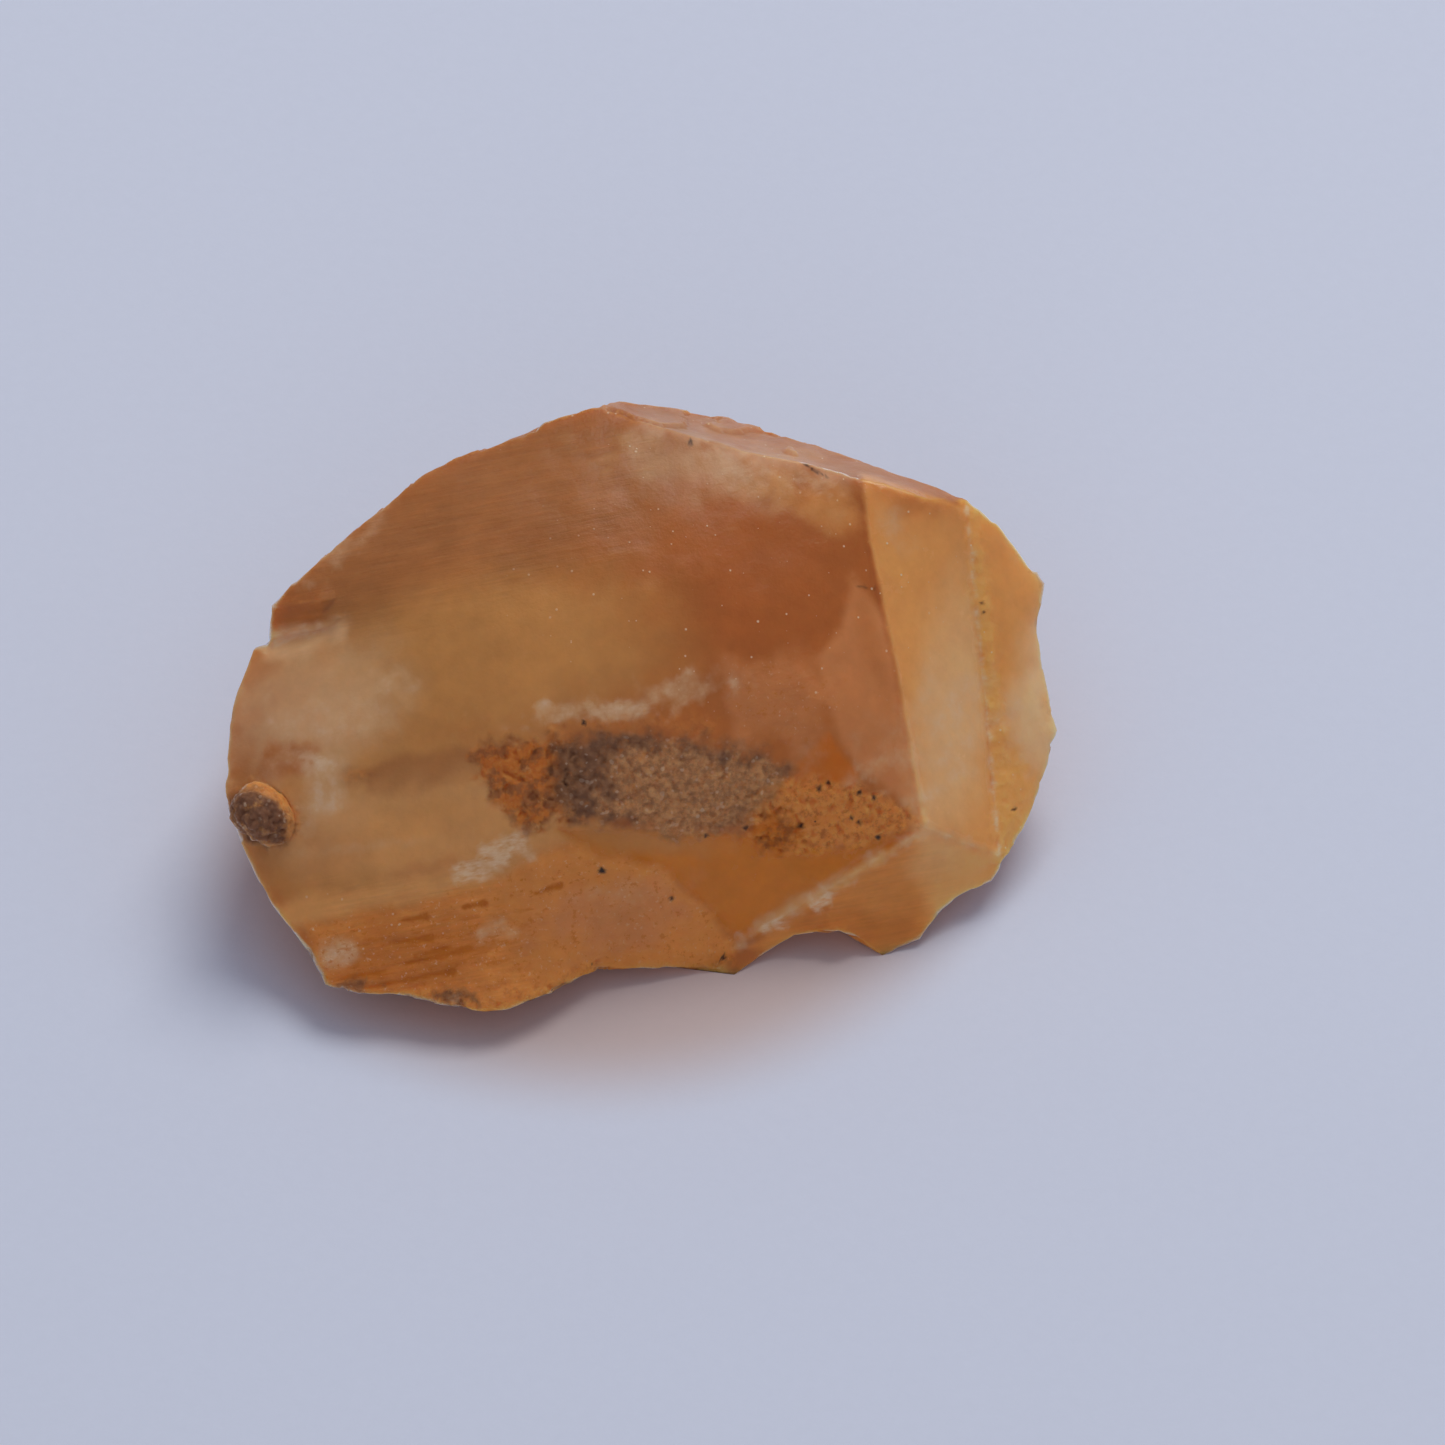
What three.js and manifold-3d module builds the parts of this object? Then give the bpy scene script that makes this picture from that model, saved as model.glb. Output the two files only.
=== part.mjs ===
// A hand specimen of honey calcite: a broken cleavage chunk as it rests on a table.
// Millimetres, +Z up, X along the length, +Y towards the back. The origin is at the middle of the
// bounding box on the resting plane.
//
// The chunk is one solid. Its skin is a set of surfaces, each stretched like a film over an outline of
// broken corners and then swelled or hollowed in the middle. Neighbours that flow into each other
// are worn smooth, and every other edge between two surfaces stays crisp. One weathered knob is joined
// on at the left end.

import * as THREE from "three";
import { mergeVertices } from "three/addons/utils/BufferGeometryUtils.js";
import Module from "manifold-3d";

// Driving dimensions.
const MESH_STEP = 1.8; // spacing of the mesh points
const LATTICE_MARGIN = 0.62; // gap between an outline and the inner points, in mesh steps
const LATTICE_JITTER = 0.08; // unevenness of the inner points, in mesh steps
const FILM_PASSES = 240; // relaxing passes that stretch a film
const WEAR_PASSES = 7; // smoothing passes over edges that flow
const WEAR_RATE = 0.5;
const ARRIS_PASSES = 2; // smoothing passes along crisp edges
const SHARP_TURN = 0.6; // radians, a crisp edge that turns more than this keeps its corner
const WELD = 0.002; // points closer than this are one

const STEEP = 0.8; // a surface that faces along X more than this is laid out along Y
const ROUND_SIZE = 1000 * MESH_STEP; // a triangle of this size goes round all the spots of a surface
const UNEVEN = { row: 127.1, column: 311.7, gain: 43758.5453 }; // rates of the pseudo-random numbers

const KNOB = {
  centre: [-31.4, 4.3, 13.1],
  radii: [3.2, 2.3, 2.2],
  dip: 0.7, // radians, how far the long axis dips towards the right
  dents: 0.16, // unevenness, as a part of the radius
  dentRates: [4.1, 3.7, 3.3], // how close the dents are along each axis
  dentStarts: [0.6, 1.9, 0.4],
  detail: 3,
};

// The broken corners, each as [x, y, z] on the resting chunk.
const CORNERS = {
  // The crest, where the domed front meets the narrow back slope, from left to right.
  crestWest: [-8.2, 32.8, 31.0],
  crestPeak: [-3.6, 33.8, 31.5],
  crestMid: [4.0, 30.4, 31.5],
  crestEast: [9.0, 29.2, 31.0],
  crestStep: [13.3, 28.7, 30.5],
  crestCorner: [18.5, 27.9, 29.3],
  crestEnd: [23.8, 27.1, 27.6],
  // The far edge of the back slope.
  slopeWest: [-1.9, 36.3, 29.3],
  slopeLow: [6.8, 38.1, 25.3],
  slopeMid: [12.2, 35.9, 25.6],
  slopeEast: [17.6, 33.1, 25.9],
  slopeEnd: [25.5, 29.2, 26.0],
  slopeCorner: [27.4, 28.8, 25.3],
  // The shoulder, from the crest down to the chip at the left end.
  nickTop: [-10.0, 31.5, 30.3],
  nickLow: [-11.7, 31.7, 29.6],
  shoulderTop: [-13.8, 31.0, 29.6],
  shoulderHigh: [-18.1, 29.2, 28.5],
  shoulderMid: [-22.2, 26.0, 27.0],
  shoulderLow: [-26.4, 22.7, 25.5],
  shoulderEnd: [-30.3, 20.1, 23.5],
  chipTop: [-31.1, 19.6, 22.5],
  chipRight: [-27.1, 18.8, 24.0],
  chipHeel: [-26.8, 18.2, 21.0],
  chipSill: [-30.2, 18.3, 19.8],
  chipLow: [-31.5, 18.7, 19.1],
  // The left end, from the chip down to the front.
  leftCorner: [-32.5, 17.9, 19.2],
  leftHigh: [-34.0, 13.9, 17.2],
  leftBrow: [-34.6, 11.6, 16.3],
  leftMid: [-34.8, 7.1, 13.0],
  leftLow: [-33.6, 3.3, 10.3],
  leftFoot: [-32.2, 0.9, 8.6],
  leftHem: [-30.2, -1.5, 7.1],
  leftToe: [-27.4, -5.1, 5.1],
  // The bottom edge of the hackly lobe, from left to right.
  lobeCorner: [-26.4, -6.5, 4.2],
  lobeWest: [-23.9, -7.4, 4.0],
  lobeNotch: [-20.5, -7.4, 4.1],
  lobeMid: [-17.1, -8.2, 3.8],
  lobePoint: [-13.8, -9.1, 3.3],
  lobeEast: [-9.5, -8.1, 3.2],
  lobeEnd: [-7.4, -6.9, 3.1],
  skirtWest: [-3.6, -3.2, 2.4],
  skirtMid: [1.4, -2.4, 1.3],
  skirtEast: [6.1, -1.5, 0.5],
  frontFoot: [7.8, -2.1, 0.0],
  // The arch under the right front, up to the tip that touches the table.
  archRise: [9.9, -0.6, 0.4],
  archWest: [11.6, 0.5, 1.4],
  archStep: [12.8, 0.5, 2.2],
  archTop: [16.6, 0.3, 3.0],
  archEast: [19.0, 0.4, 1.8],
  tip: [20.3, 0.0, 0.0],
  // The bottom edge of the right front.
  toeLow: [23.4, 1.1, 0.8],
  toeMid: [24.9, 2.9, 2.4],
  toeHigh: [26.9, 4.5, 3.2],
  toeEnd: [29.5, 5.6, 3.0],
  // The right end, from the bottom up.
  rightFoot: [30.4, 7.0, 3.6],
  rightLow: [31.8, 9.1, 4.6],
  rightMid: [33.7, 13.1, 6.2],
  rightPoint: [35.0, 17.2, 9.0],
  rightWaist: [33.4, 22.8, 14.0],
  rightHorn: [34.0, 26.7, 17.0],
  rightHigh: [31.2, 28.0, 21.0],
  rightTop: [29.3, 28.4, 24.0],
  // The edge between the dome and the smooth right cleavage face.
  bladeTop: [19.0, 23.4, 26.4],
  bladeMid: [21.3, 14.6, 19.8],
  bladeFoot: [23.8, 5.5, 10.4],
  // The seam between that cleavage face and the right end.
  seamTop: [27.3, 27.9, 25.0],
  seamHigh: [28.0, 22.8, 19.2],
  seamMid: [28.9, 16.9, 13.1],
  seamFoot: [30.0, 6.9, 5.0],
  // The hem of the dome, from right to left.
  hemEast: [9.9, 3.7, 10.9],
  hemMid: [-2.8, 1.7, 13.9],
  hemWest: [-8.0, -0.3, 12.3],
  hemLeft: [-16.3, -2.6, 10.1],
  hemEnd: [-24.7, -2.3, 9.0],
  // The curved edge between the window and the lobe.
  scarWest: [-3.6, 0.4, 11.5],
  scarMid: [1.4, 1.1, 9.8],
  scarEast: [4.8, 0.6, 5.6],
  scarFoot: [8.0, -0.1, 2.0],
  // The ridge between the window and the right front.
  keelHigh: [17.5, 2.5, 6.6],
  keelMid: [14.9, 1.4, 4.6],
  // The hidden side.
  backLeft: [-13.5, 36.0, 18.5],
  backRight: [25.5, 33.0, 14.0],
  backStepLeft: [-5.0, 39.3, 10.5],
  backStepRight: [15.0, 38.3, 8.0],
  flankHigh: [-21.0, 32.3, 17.5],
  flankMid: [-28.3, 26.0, 14.5],
  flankLow: [-33.2, 17.8, 12.0],
  undercutBack: [-25.5, 23.5, 3.5],
  undercutLeft: [-32.0, 12.5, 6.5],
  undercutRight: [32.0, 22.0, 4.5],
  // The flat patch it rests on.
  baseBackLeft: [-13.0, 31.0, 0.0],
  baseBack: [4.0, 34.5, 0.0],
  baseBackRight: [21.0, 31.0, 0.0],
  baseRight: [27.0, 22.0, 0.0],
  baseFrontRight: [27.0, 10.0, 0.0],
  baseArch: [14.5, 4.5, 0.0],
  baseFront: [-4.0, -0.2, 0.0],
  baseFrontLeft: [-16.0, -3.5, 0.0],
  baseLeft: [-21.0, 9.0, 0.0],
};

// The surfaces: an outline that runs anticlockwise seen from outside, the swell in the middle in
// millimetres (below zero for a hollow), and the neighbours that it flows into.
const SURFACES = {
  dome: {
    swell: 6.0,
    flowsInto: ["window", "lobe"],
    outline: `crestWest nickTop nickLow shoulderTop shoulderHigh shoulderMid shoulderLow shoulderEnd
      chipTop chipRight chipHeel chipSill chipLow leftCorner leftHigh leftBrow leftMid leftLow
      leftFoot leftHem hemEnd hemLeft hemWest hemMid hemEast bladeFoot bladeMid bladeTop crestCorner
      crestStep crestEast crestMid crestPeak`,
  },
  chip: {
    swell: -0.2,
    flowsInto: [],
    outline: "chipTop chipLow chipSill chipHeel chipRight",
  },
  backSlope: {
    swell: -0.3,
    flowsInto: [],
    outline: `crestPeak crestMid crestEast crestStep crestCorner crestEnd slopeCorner slopeEnd
      slopeEast slopeMid slopeLow slopeWest`,
  },
  rightCleavage: {
    swell: 0.3,
    flowsInto: [],
    outline: `crestCorner bladeTop bladeMid bladeFoot seamFoot seamMid seamHigh seamTop crestEnd`,
  },
  rightEnd: {
    swell: 0.8,
    flowsInto: [],
    outline: `seamTop seamHigh seamMid seamFoot rightFoot rightLow rightMid rightPoint rightWaist
      rightHorn rightHigh rightTop slopeCorner crestEnd`,
  },
  toe: {
    swell: -0.4,
    flowsInto: [],
    outline: `bladeFoot keelHigh keelMid archStep archTop archEast tip toeLow toeMid toeHigh
      toeEnd rightFoot seamFoot`,
  },
  window: {
    swell: 0.3,
    flowsInto: ["dome"],
    outline: `hemWest scarWest scarMid scarEast scarFoot frontFoot archRise archWest archStep
      keelMid keelHigh bladeFoot hemEast hemMid`,
  },
  lobe: {
    swell: 0.1,
    flowsInto: ["dome"],
    outline: `leftHem leftToe lobeCorner lobeWest lobeNotch lobeMid lobePoint lobeEast lobeEnd
      skirtWest skirtMid skirtEast frontFoot scarFoot scarEast scarMid scarWest hemWest hemLeft
      hemEnd`,
  },
  upperBack: {
    swell: 0.8,
    flowsInto: [],
    outline: `crestWest crestPeak slopeWest slopeLow slopeMid slopeEast slopeEnd slopeCorner
      backRight backStepRight backStepLeft backLeft`,
  },
  lowerBack: {
    swell: 0.6,
    flowsInto: [],
    outline: `backRight baseBackRight baseBack baseBackLeft backLeft backStepLeft backStepRight`,
  },
  leftShoulder: {
    swell: 0.5,
    flowsInto: [],
    outline: `leftBrow leftHigh leftCorner chipLow chipTop shoulderEnd shoulderLow shoulderMid
      shoulderHigh shoulderTop nickLow nickTop crestWest backLeft flankHigh flankMid flankLow`,
  },
  leftBack: {
    swell: 0.8,
    flowsInto: [],
    outline: `flankLow flankMid flankHigh backLeft baseBackLeft undercutBack undercutLeft leftMid
      leftBrow`,
  },
  rightBack: {
    swell: 0.8,
    flowsInto: [],
    outline: `slopeCorner rightTop rightHigh rightHorn rightWaist rightPoint undercutRight
      baseRight baseBackRight backRight`,
  },
  leftUnder: {
    swell: 1.2,
    flowsInto: [],
    outline: `leftMid undercutLeft undercutBack baseBackLeft baseLeft baseFrontLeft lobeCorner
      leftToe leftHem leftFoot leftLow`,
  },
  frontUnder: {
    swell: 0.4,
    flowsInto: [],
    outline: `frontFoot skirtEast skirtMid skirtWest lobeEnd lobeEast lobePoint lobeMid lobeNotch
      lobeWest lobeCorner baseFrontLeft baseFront`,
  },
  arch: {
    swell: -0.6,
    flowsInto: [],
    outline: "tip archEast archTop archStep archWest archRise frontFoot baseArch",
  },
  rightUnder: {
    swell: 0.4,
    flowsInto: [],
    outline: `rightPoint rightMid rightLow rightFoot toeEnd toeHigh toeMid toeLow tip
      baseFrontRight baseRight undercutRight`,
  },
  base: {
    swell: 0,
    flowsInto: [],
    outline: `baseBackLeft baseBack baseBackRight baseRight baseFrontRight tip baseArch frontFoot
      baseFront baseFrontLeft baseLeft`,
  },
};

// The mesh that all surfaces share: points, triangles, and the surface that each triangle is in.
const points = [];
const triangles = [];
const owners = [];

function addPoint(position) {
  points.push(position);
  return points.length - 1;
}

const cornerIndex = {};
for (const [name, position] of Object.entries(CORNERS)) {
  cornerIndex[name] = addPoint(new THREE.Vector3(...position));
}

// The points along the edge between two corners, made once and walked from either end.
const edgeCache = new Map();
function edgePoints(from, to) {
  const forwards = from < to;
  const key = forwards ? `${from} ${to}` : `${to} ${from}`;
  if (!edgeCache.has(key)) {
    const [start, end] = (forwards ? [from, to] : [to, from]).map((name) => cornerIndex[name]);
    const pieces = Math.max(1, Math.round(points[start].distanceTo(points[end]) / MESH_STEP));
    const indices = [start];
    for (let i = 1; i < pieces; i++) {
      indices.push(addPoint(points[start].clone().lerp(points[end], i / pieces)));
    }
    indices.push(end);
    edgeCache.set(key, indices);
  }
  const indices = edgeCache.get(key);
  return forwards ? indices : [...indices].reverse();
}

// The closed loop of point indices round a surface.
function loopOf(outline) {
  const names = outline.trim().split(/\s+/);
  return names.flatMap((name, i) => edgePoints(name, names[(i + 1) % names.length]).slice(0, -1));
}

// The plane that fits a loop best: its middle, its outward normal and two axes in it.
function planeOf(loop) {
  const centre = new THREE.Vector3();
  const normal = new THREE.Vector3();
  loop.forEach((index, i) => {
    const next = points[loop[(i + 1) % loop.length]];
    centre.addScaledVector(points[index], 1 / loop.length);
    normal.add(points[index].clone().cross(next));
  });
  normal.normalize();
  const across = new THREE.Vector3(1, 0, 0);
  if (Math.abs(normal.x) > STEEP) across.set(0, 1, 0);
  across.addScaledVector(normal, -across.dot(normal)).normalize();
  return { centre, normal, across, along: normal.clone().cross(across) };
}

function isInside(spot, loop2d) {
  let inside = false;
  loop2d.forEach((a, i) => {
    const b = loop2d[(i + 1) % loop2d.length];
    const crosses = a.y > spot.y !== b.y > spot.y;
    if (crosses && spot.x < ((b.x - a.x) * (spot.y - a.y)) / (b.y - a.y) + a.x) inside = !inside;
  });
  return inside;
}

function distanceToLoop(spot, loop2d) {
  const nearest = loop2d.map((a, i) => {
    const b = loop2d[(i + 1) % loop2d.length];
    const side = b.clone().sub(a);
    const share = THREE.MathUtils.clamp(spot.clone().sub(a).dot(side) / side.lengthSq(), 0, 1);
    return spot.distanceTo(a.clone().addScaledVector(side, share));
  });
  return Math.min(...nearest);
}

// A repeatable pseudo-random number from -0.5 to 0.5 for a pair of whole numbers.
function scatter(i, j) {
  const wave = Math.sin(i * UNEVEN.row + j * UNEVEN.column) * UNEVEN.gain;
  return wave - Math.floor(wave) - 0.5;
}

// Evenly spread spots inside a loop, in staggered rows.
function latticeInside(loop2d) {
  const box = new THREE.Box2().setFromPoints(loop2d);
  const rowHeight = (MESH_STEP * Math.sqrt(3)) / 2;
  const spots = [];
  for (let row = 0; box.min.y + row * rowHeight < box.max.y; row++) {
    for (let column = 0; box.min.x + column * MESH_STEP < box.max.x; column++) {
      const spot = new THREE.Vector2(
        box.min.x + (column + (row % 2) / 2 + scatter(row, column) * LATTICE_JITTER) * MESH_STEP,
        box.min.y + row * rowHeight + scatter(column, row) * LATTICE_JITTER * MESH_STEP,
      );
      const clear = isInside(spot, loop2d) && distanceToLoop(spot, loop2d) > LATTICE_MARGIN * MESH_STEP;
      if (clear) spots.push(spot);
    }
  }
  return spots;
}

// Delaunay triangles of spots in a plane, by inserting one spot at a time.
function delaunay(spots) {
  const round = [[-1, -1], [1, -1], [0, 1]];
  const all = [...spots, ...round.map(([x, y]) => new THREE.Vector2(x * ROUND_SIZE, y * ROUND_SIZE))];
  const count = spots.length;
  const circled = (a, b, c) => {
    const [p, q, r] = [all[a], all[b], all[c]];
    const d = 2 * (p.x * (q.y - r.y) + q.x * (r.y - p.y) + r.x * (p.y - q.y));
    const [pp, qq, rr] = [p.lengthSq(), q.lengthSq(), r.lengthSq()];
    const x = (pp * (q.y - r.y) + qq * (r.y - p.y) + rr * (p.y - q.y)) / d;
    const y = (pp * (r.x - q.x) + qq * (p.x - r.x) + rr * (q.x - p.x)) / d;
    const centre = new THREE.Vector2(x, y);
    return { corners: [a, b, c], centre, reach: centre.distanceToSquared(p) };
  };
  let faces = [circled(count, count + 1, count + 2)];
  for (let i = 0; i < count; i++) {
    const border = new Map();
    const kept = [];
    for (const face of faces) {
      if (face.centre.distanceToSquared(all[i]) > face.reach) {
        kept.push(face);
        continue;
      }
      face.corners.forEach((a, k) => {
        const b = face.corners[(k + 1) % 3];
        if (border.has(`${b} ${a}`)) border.delete(`${b} ${a}`);
        else border.set(`${a} ${b}`, [a, b]);
      });
    }
    faces = kept.concat([...border.values()].map(([a, b]) => circled(a, b, i)));
  }
  return faces.map((face) => face.corners).filter((corners) => corners.every((i) => i < count));
}

// The neighbours of each point over a list of triangles.
function neighboursOf(faces) {
  const neighbours = new Map();
  for (const face of faces) {
    face.forEach((a, k) => {
      if (!neighbours.has(a)) neighbours.set(a, new Set());
      neighbours.get(a).add(face[(k + 1) % 3]);
      neighbours.get(a).add(face[(k + 2) % 3]);
    });
  }
  return neighbours;
}

function meanOf(indices) {
  const mean = new THREE.Vector3();
  for (const index of indices) mean.addScaledVector(points[index], 1 / indices.size);
  return mean;
}

// Fills one outline with a stretched film and swells its middle.
function addSurface(name, { outline, swell }) {
  const loop = loopOf(outline);
  const plane = planeOf(loop);
  const flatten = (point) => {
    const offset = point.clone().sub(plane.centre);
    return new THREE.Vector2(offset.dot(plane.across), offset.dot(plane.along));
  };
  const loop2d = loop.map((index) => flatten(points[index]));
  const spots = latticeInside(loop2d);
  const lift = ({ x, y }) =>
    plane.centre.clone().addScaledVector(plane.across, x).addScaledVector(plane.along, y);
  const inner = spots.map((spot) => addPoint(lift(spot)));
  const ids = [...loop, ...inner];
  const flat = [...loop2d, ...spots];
  const faces = delaunay(flat)
    .filter(([a, b, c]) => {
      const middle = flat[a].clone().add(flat[b]).add(flat[c]).divideScalar(3);
      return isInside(middle, loop2d);
    })
    .map((face) => face.map((k) => ids[k]));
  const neighbours = neighboursOf(faces);
  const height = new Map(ids.map((index) => [index, 0]));
  for (let pass = 0; pass < FILM_PASSES; pass++) {
    for (const index of inner) {
      const around = neighbours.get(index);
      points[index].copy(meanOf(around));
      height.set(index, [...around].reduce((sum, k) => sum + height.get(k), 1) / around.size);
    }
  }
  const tallest = Math.max(...height.values());
  for (const index of inner) {
    points[index].addScaledVector(plane.normal, (swell * height.get(index)) / tallest);
  }
  for (const face of faces) {
    triangles.push(face);
    owners.push(name);
  }
}

// Points where two surfaces meet at a crisp edge, each with its neighbours along such edges.
function crispNeighbours() {
  const sides = new Map();
  triangles.forEach((face, f) => {
    face.forEach((a, k) => {
      const b = face[(k + 1) % 3];
      const key = a < b ? `${a} ${b}` : `${b} ${a}`;
      if (!sides.has(key)) sides.set(key, new Set());
      sides.get(key).add(owners[f]);
    });
  });
  const crisp = new Map();
  for (const [key, names] of sides) {
    const [first, second] = [...names];
    if (!second || SURFACES[first].flowsInto.includes(second)) continue;
    if (SURFACES[second].flowsInto.includes(first)) continue;
    const [a, b] = key.split(" ").map(Number);
    if (!crisp.has(a)) crisp.set(a, new Set());
    if (!crisp.has(b)) crisp.set(b, new Set());
    crisp.get(a).add(b);
    crisp.get(b).add(a);
  }
  return crisp;
}

// Moves each listed point part of the way to the middle of its neighbours, all at once.
function smooth(neighbours, chosen, passes, rate) {
  for (let pass = 0; pass < passes; pass++) {
    const targets = chosen.map((index) => meanOf(neighbours.get(index)));
    chosen.forEach((index, i) => points[index].lerp(targets[i], rate));
  }
}

// Whether a point lies along one crisp edge that turns only a little there.
function bendsGently(index, crisp) {
  if (crisp.get(index).size !== 2) return false;
  const [before, after] = [...crisp.get(index)].map((k) => points[k].clone().sub(points[index]));
  return before.angleTo(after) > Math.PI - SHARP_TURN;
}

// Wears the edges that flow, and takes the stiffness out of the crisp ones.
function wearEdges() {
  const neighbours = neighboursOf(triangles);
  const crisp = crispNeighbours();
  const flowing = [];
  triangles.forEach((face, f) => {
    const flows = SURFACES[owners[f]].flowsInto.length > 0;
    if (flows) flowing.push(...face.filter((index) => !crisp.has(index)));
  });
  smooth(neighbours, [...new Set(flowing)], WEAR_PASSES, WEAR_RATE);
  const raised = [...crisp.keys()].filter((index) => points[index].z > WELD);
  const arris = raised.filter((index) => bendsGently(index, crisp));
  smooth(crisp, arris, ARRIS_PASSES, WEAR_RATE);
}

function indexedGeometry(positions, faces) {
  const geometry = new THREE.BufferGeometry().setFromPoints(positions);
  geometry.setIndex(faces.flat());
  return geometry;
}

// A weathered knob: a dipping egg with a few shallow dents.
function knobGeometry() {
  const ball = new THREE.IcosahedronGeometry(1, KNOB.detail);
  const position = ball.attributes.position;
  for (let i = 0; i < position.count; i++) {
    const point = new THREE.Vector3().fromBufferAttribute(position, i);
    const waves = point.toArray().map((x, k) => Math.sin(x * KNOB.dentRates[k] + KNOB.dentStarts[k]));
    point.multiplyScalar(1 + KNOB.dents * waves[0] * waves[1] * waves[2]);
    position.setXYZ(i, point.x, point.y, point.z);
  }
  return ball.scale(...KNOB.radii).rotateY(KNOB.dip).translate(...KNOB.centre);
}

const wasm = await Module();
wasm.setup();

// The solid that a closed geometry bounds.
function solidOf(geometry) {
  const bare = geometry.clone();
  bare.deleteAttribute("normal");
  bare.deleteAttribute("uv");
  const merged = mergeVertices(bare, WELD);
  return new wasm.Manifold(
    new wasm.Mesh({
      numProp: 3,
      vertProperties: new Float32Array(merged.attributes.position.array),
      triVerts: new Uint32Array(merged.index.array),
    }),
  );
}

// The geometry that bounds a solid.
function geometryOf(solid) {
  const mesh = solid.getMesh();
  const geometry = new THREE.BufferGeometry();
  geometry.setAttribute("position", new THREE.BufferAttribute(mesh.vertProperties, mesh.numProp));
  geometry.setIndex(new THREE.BufferAttribute(mesh.triVerts, 1));
  return geometry;
}

for (const [name, surface] of Object.entries(SURFACES)) addSurface(name, surface);
wearEdges();

const chunkSolid = solidOf(indexedGeometry(points, triangles)).add(solidOf(knobGeometry()));
const chunkGeometry = geometryOf(chunkSolid);
chunkGeometry.computeBoundingBox();
const box = chunkGeometry.boundingBox;
chunkGeometry.translate(-(box.min.x + box.max.x) / 2, -(box.min.y + box.max.y) / 2, -box.min.z);
chunkGeometry.computeVertexNormals();

const honeyCalcite = new THREE.MeshStandardMaterial({ color: 0xb9794a, roughness: 0.38, metalness: 0 });
const chunk = new THREE.Mesh(chunkGeometry, honeyCalcite);
chunk.name = "calcite_chunk";

const specimen = new THREE.Group();
specimen.add(chunk);

export default specimen;
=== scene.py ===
"""The looks of a honey calcite hand specimen on a paper-covered table in soft studio light.

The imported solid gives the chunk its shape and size. This script refines its skin, breaks it up in fine
relief, paints the zones of the stone on it and gives it a translucent finish. Lengths are millimetres
unless a name ends in _M, and Blender itself works in metres.
"""

import logging
import math
from dataclasses import dataclass, field
from enum import Enum
from typing import Protocol, Sequence

import bmesh
import bpy
import numpy as np
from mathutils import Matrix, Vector, kdtree, noise


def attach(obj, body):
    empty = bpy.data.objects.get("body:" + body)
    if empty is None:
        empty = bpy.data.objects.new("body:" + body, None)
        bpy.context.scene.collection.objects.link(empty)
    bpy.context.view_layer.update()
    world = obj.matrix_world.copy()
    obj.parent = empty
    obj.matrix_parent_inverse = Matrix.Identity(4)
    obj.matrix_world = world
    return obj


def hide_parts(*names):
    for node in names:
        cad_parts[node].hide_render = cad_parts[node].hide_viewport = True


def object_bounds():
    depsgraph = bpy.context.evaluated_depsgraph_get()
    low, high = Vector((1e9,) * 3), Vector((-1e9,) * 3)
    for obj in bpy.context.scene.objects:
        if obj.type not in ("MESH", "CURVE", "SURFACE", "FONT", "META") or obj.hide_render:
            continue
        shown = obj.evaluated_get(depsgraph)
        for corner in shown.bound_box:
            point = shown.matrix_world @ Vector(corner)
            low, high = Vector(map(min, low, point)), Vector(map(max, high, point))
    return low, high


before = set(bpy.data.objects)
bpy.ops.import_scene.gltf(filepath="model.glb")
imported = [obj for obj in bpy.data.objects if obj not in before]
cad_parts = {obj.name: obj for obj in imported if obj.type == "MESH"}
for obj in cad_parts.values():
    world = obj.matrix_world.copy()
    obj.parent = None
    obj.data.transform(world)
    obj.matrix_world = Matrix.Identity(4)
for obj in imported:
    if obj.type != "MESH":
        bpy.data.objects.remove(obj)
CAD_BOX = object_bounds()

MM = 0.001  # metres in a millimetre
BODY = "root"
CHUNK_NODE = "calcite_chunk"
FRONT_TILT = math.radians(50.0)  # how far above the table the front chart looks from
WELD_M = 2e-6
MOST_BEND = math.radians(34.0)  # the finished skin stays crisp where it bends more than this
RAGGED_GAIN = 1.6  # how far a random field of 1 moves a ragged border, as a share of its reach

Colour = tuple[float, float, float]
Point = tuple[float, float]
Socket = bpy.types.NodeSocket
Sockets = bpy.types.bpy_prop_collection
Value = float | Socket
Tint = Colour | Socket

log = logging.getLogger("calcite")


# ---- Charts and shapes: where the zones of the stone lie.


class Side(Enum):
    """A flat chart over one side of the chunk, as its right and up directions."""

    FRONT = ((1.0, 0.0, 0.0), (0.0, math.sin(FRONT_TILT), math.cos(FRONT_TILT)))
    BACK = ((-1.0, 0.0, 0.0), (0.0, 0.0, 1.0))
    LEFT = ((0.0, -1.0, 0.0), (0.0, 0.0, 1.0))
    RIGHT = ((0.0, 1.0, 0.0), (0.0, 0.0, 1.0))
    UNDER = ((1.0, 0.0, 0.0), (0.0, -1.0, 0.0))

    @property
    def outward(self) -> np.ndarray:
        """The direction that the side looks in."""
        return np.cross(self.value[0], self.value[1])

    def chart(self, points: np.ndarray) -> np.ndarray:
        """The points as (right, up) millimetres on this side's chart."""
        return points @ np.array(self.value).T


class Shape(Protocol):
    """A flat shape on a chart."""

    def depth(self, spots: np.ndarray) -> np.ndarray:
        """How far inside the shape each spot is, negative outside, in millimetres."""


def rise(low: float, high: float, values: np.ndarray) -> np.ndarray:
    """A smooth step.

    Args:
        low: The value where the step starts, at 0.
        high: The value where it ends, at 1.
        values: What to map.

    Returns:
        Numbers from 0 to 1.
    """
    t = np.clip((values - low) / (high - low), 0.0, 1.0)
    return t * t * (3.0 - 2.0 * t)


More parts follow.
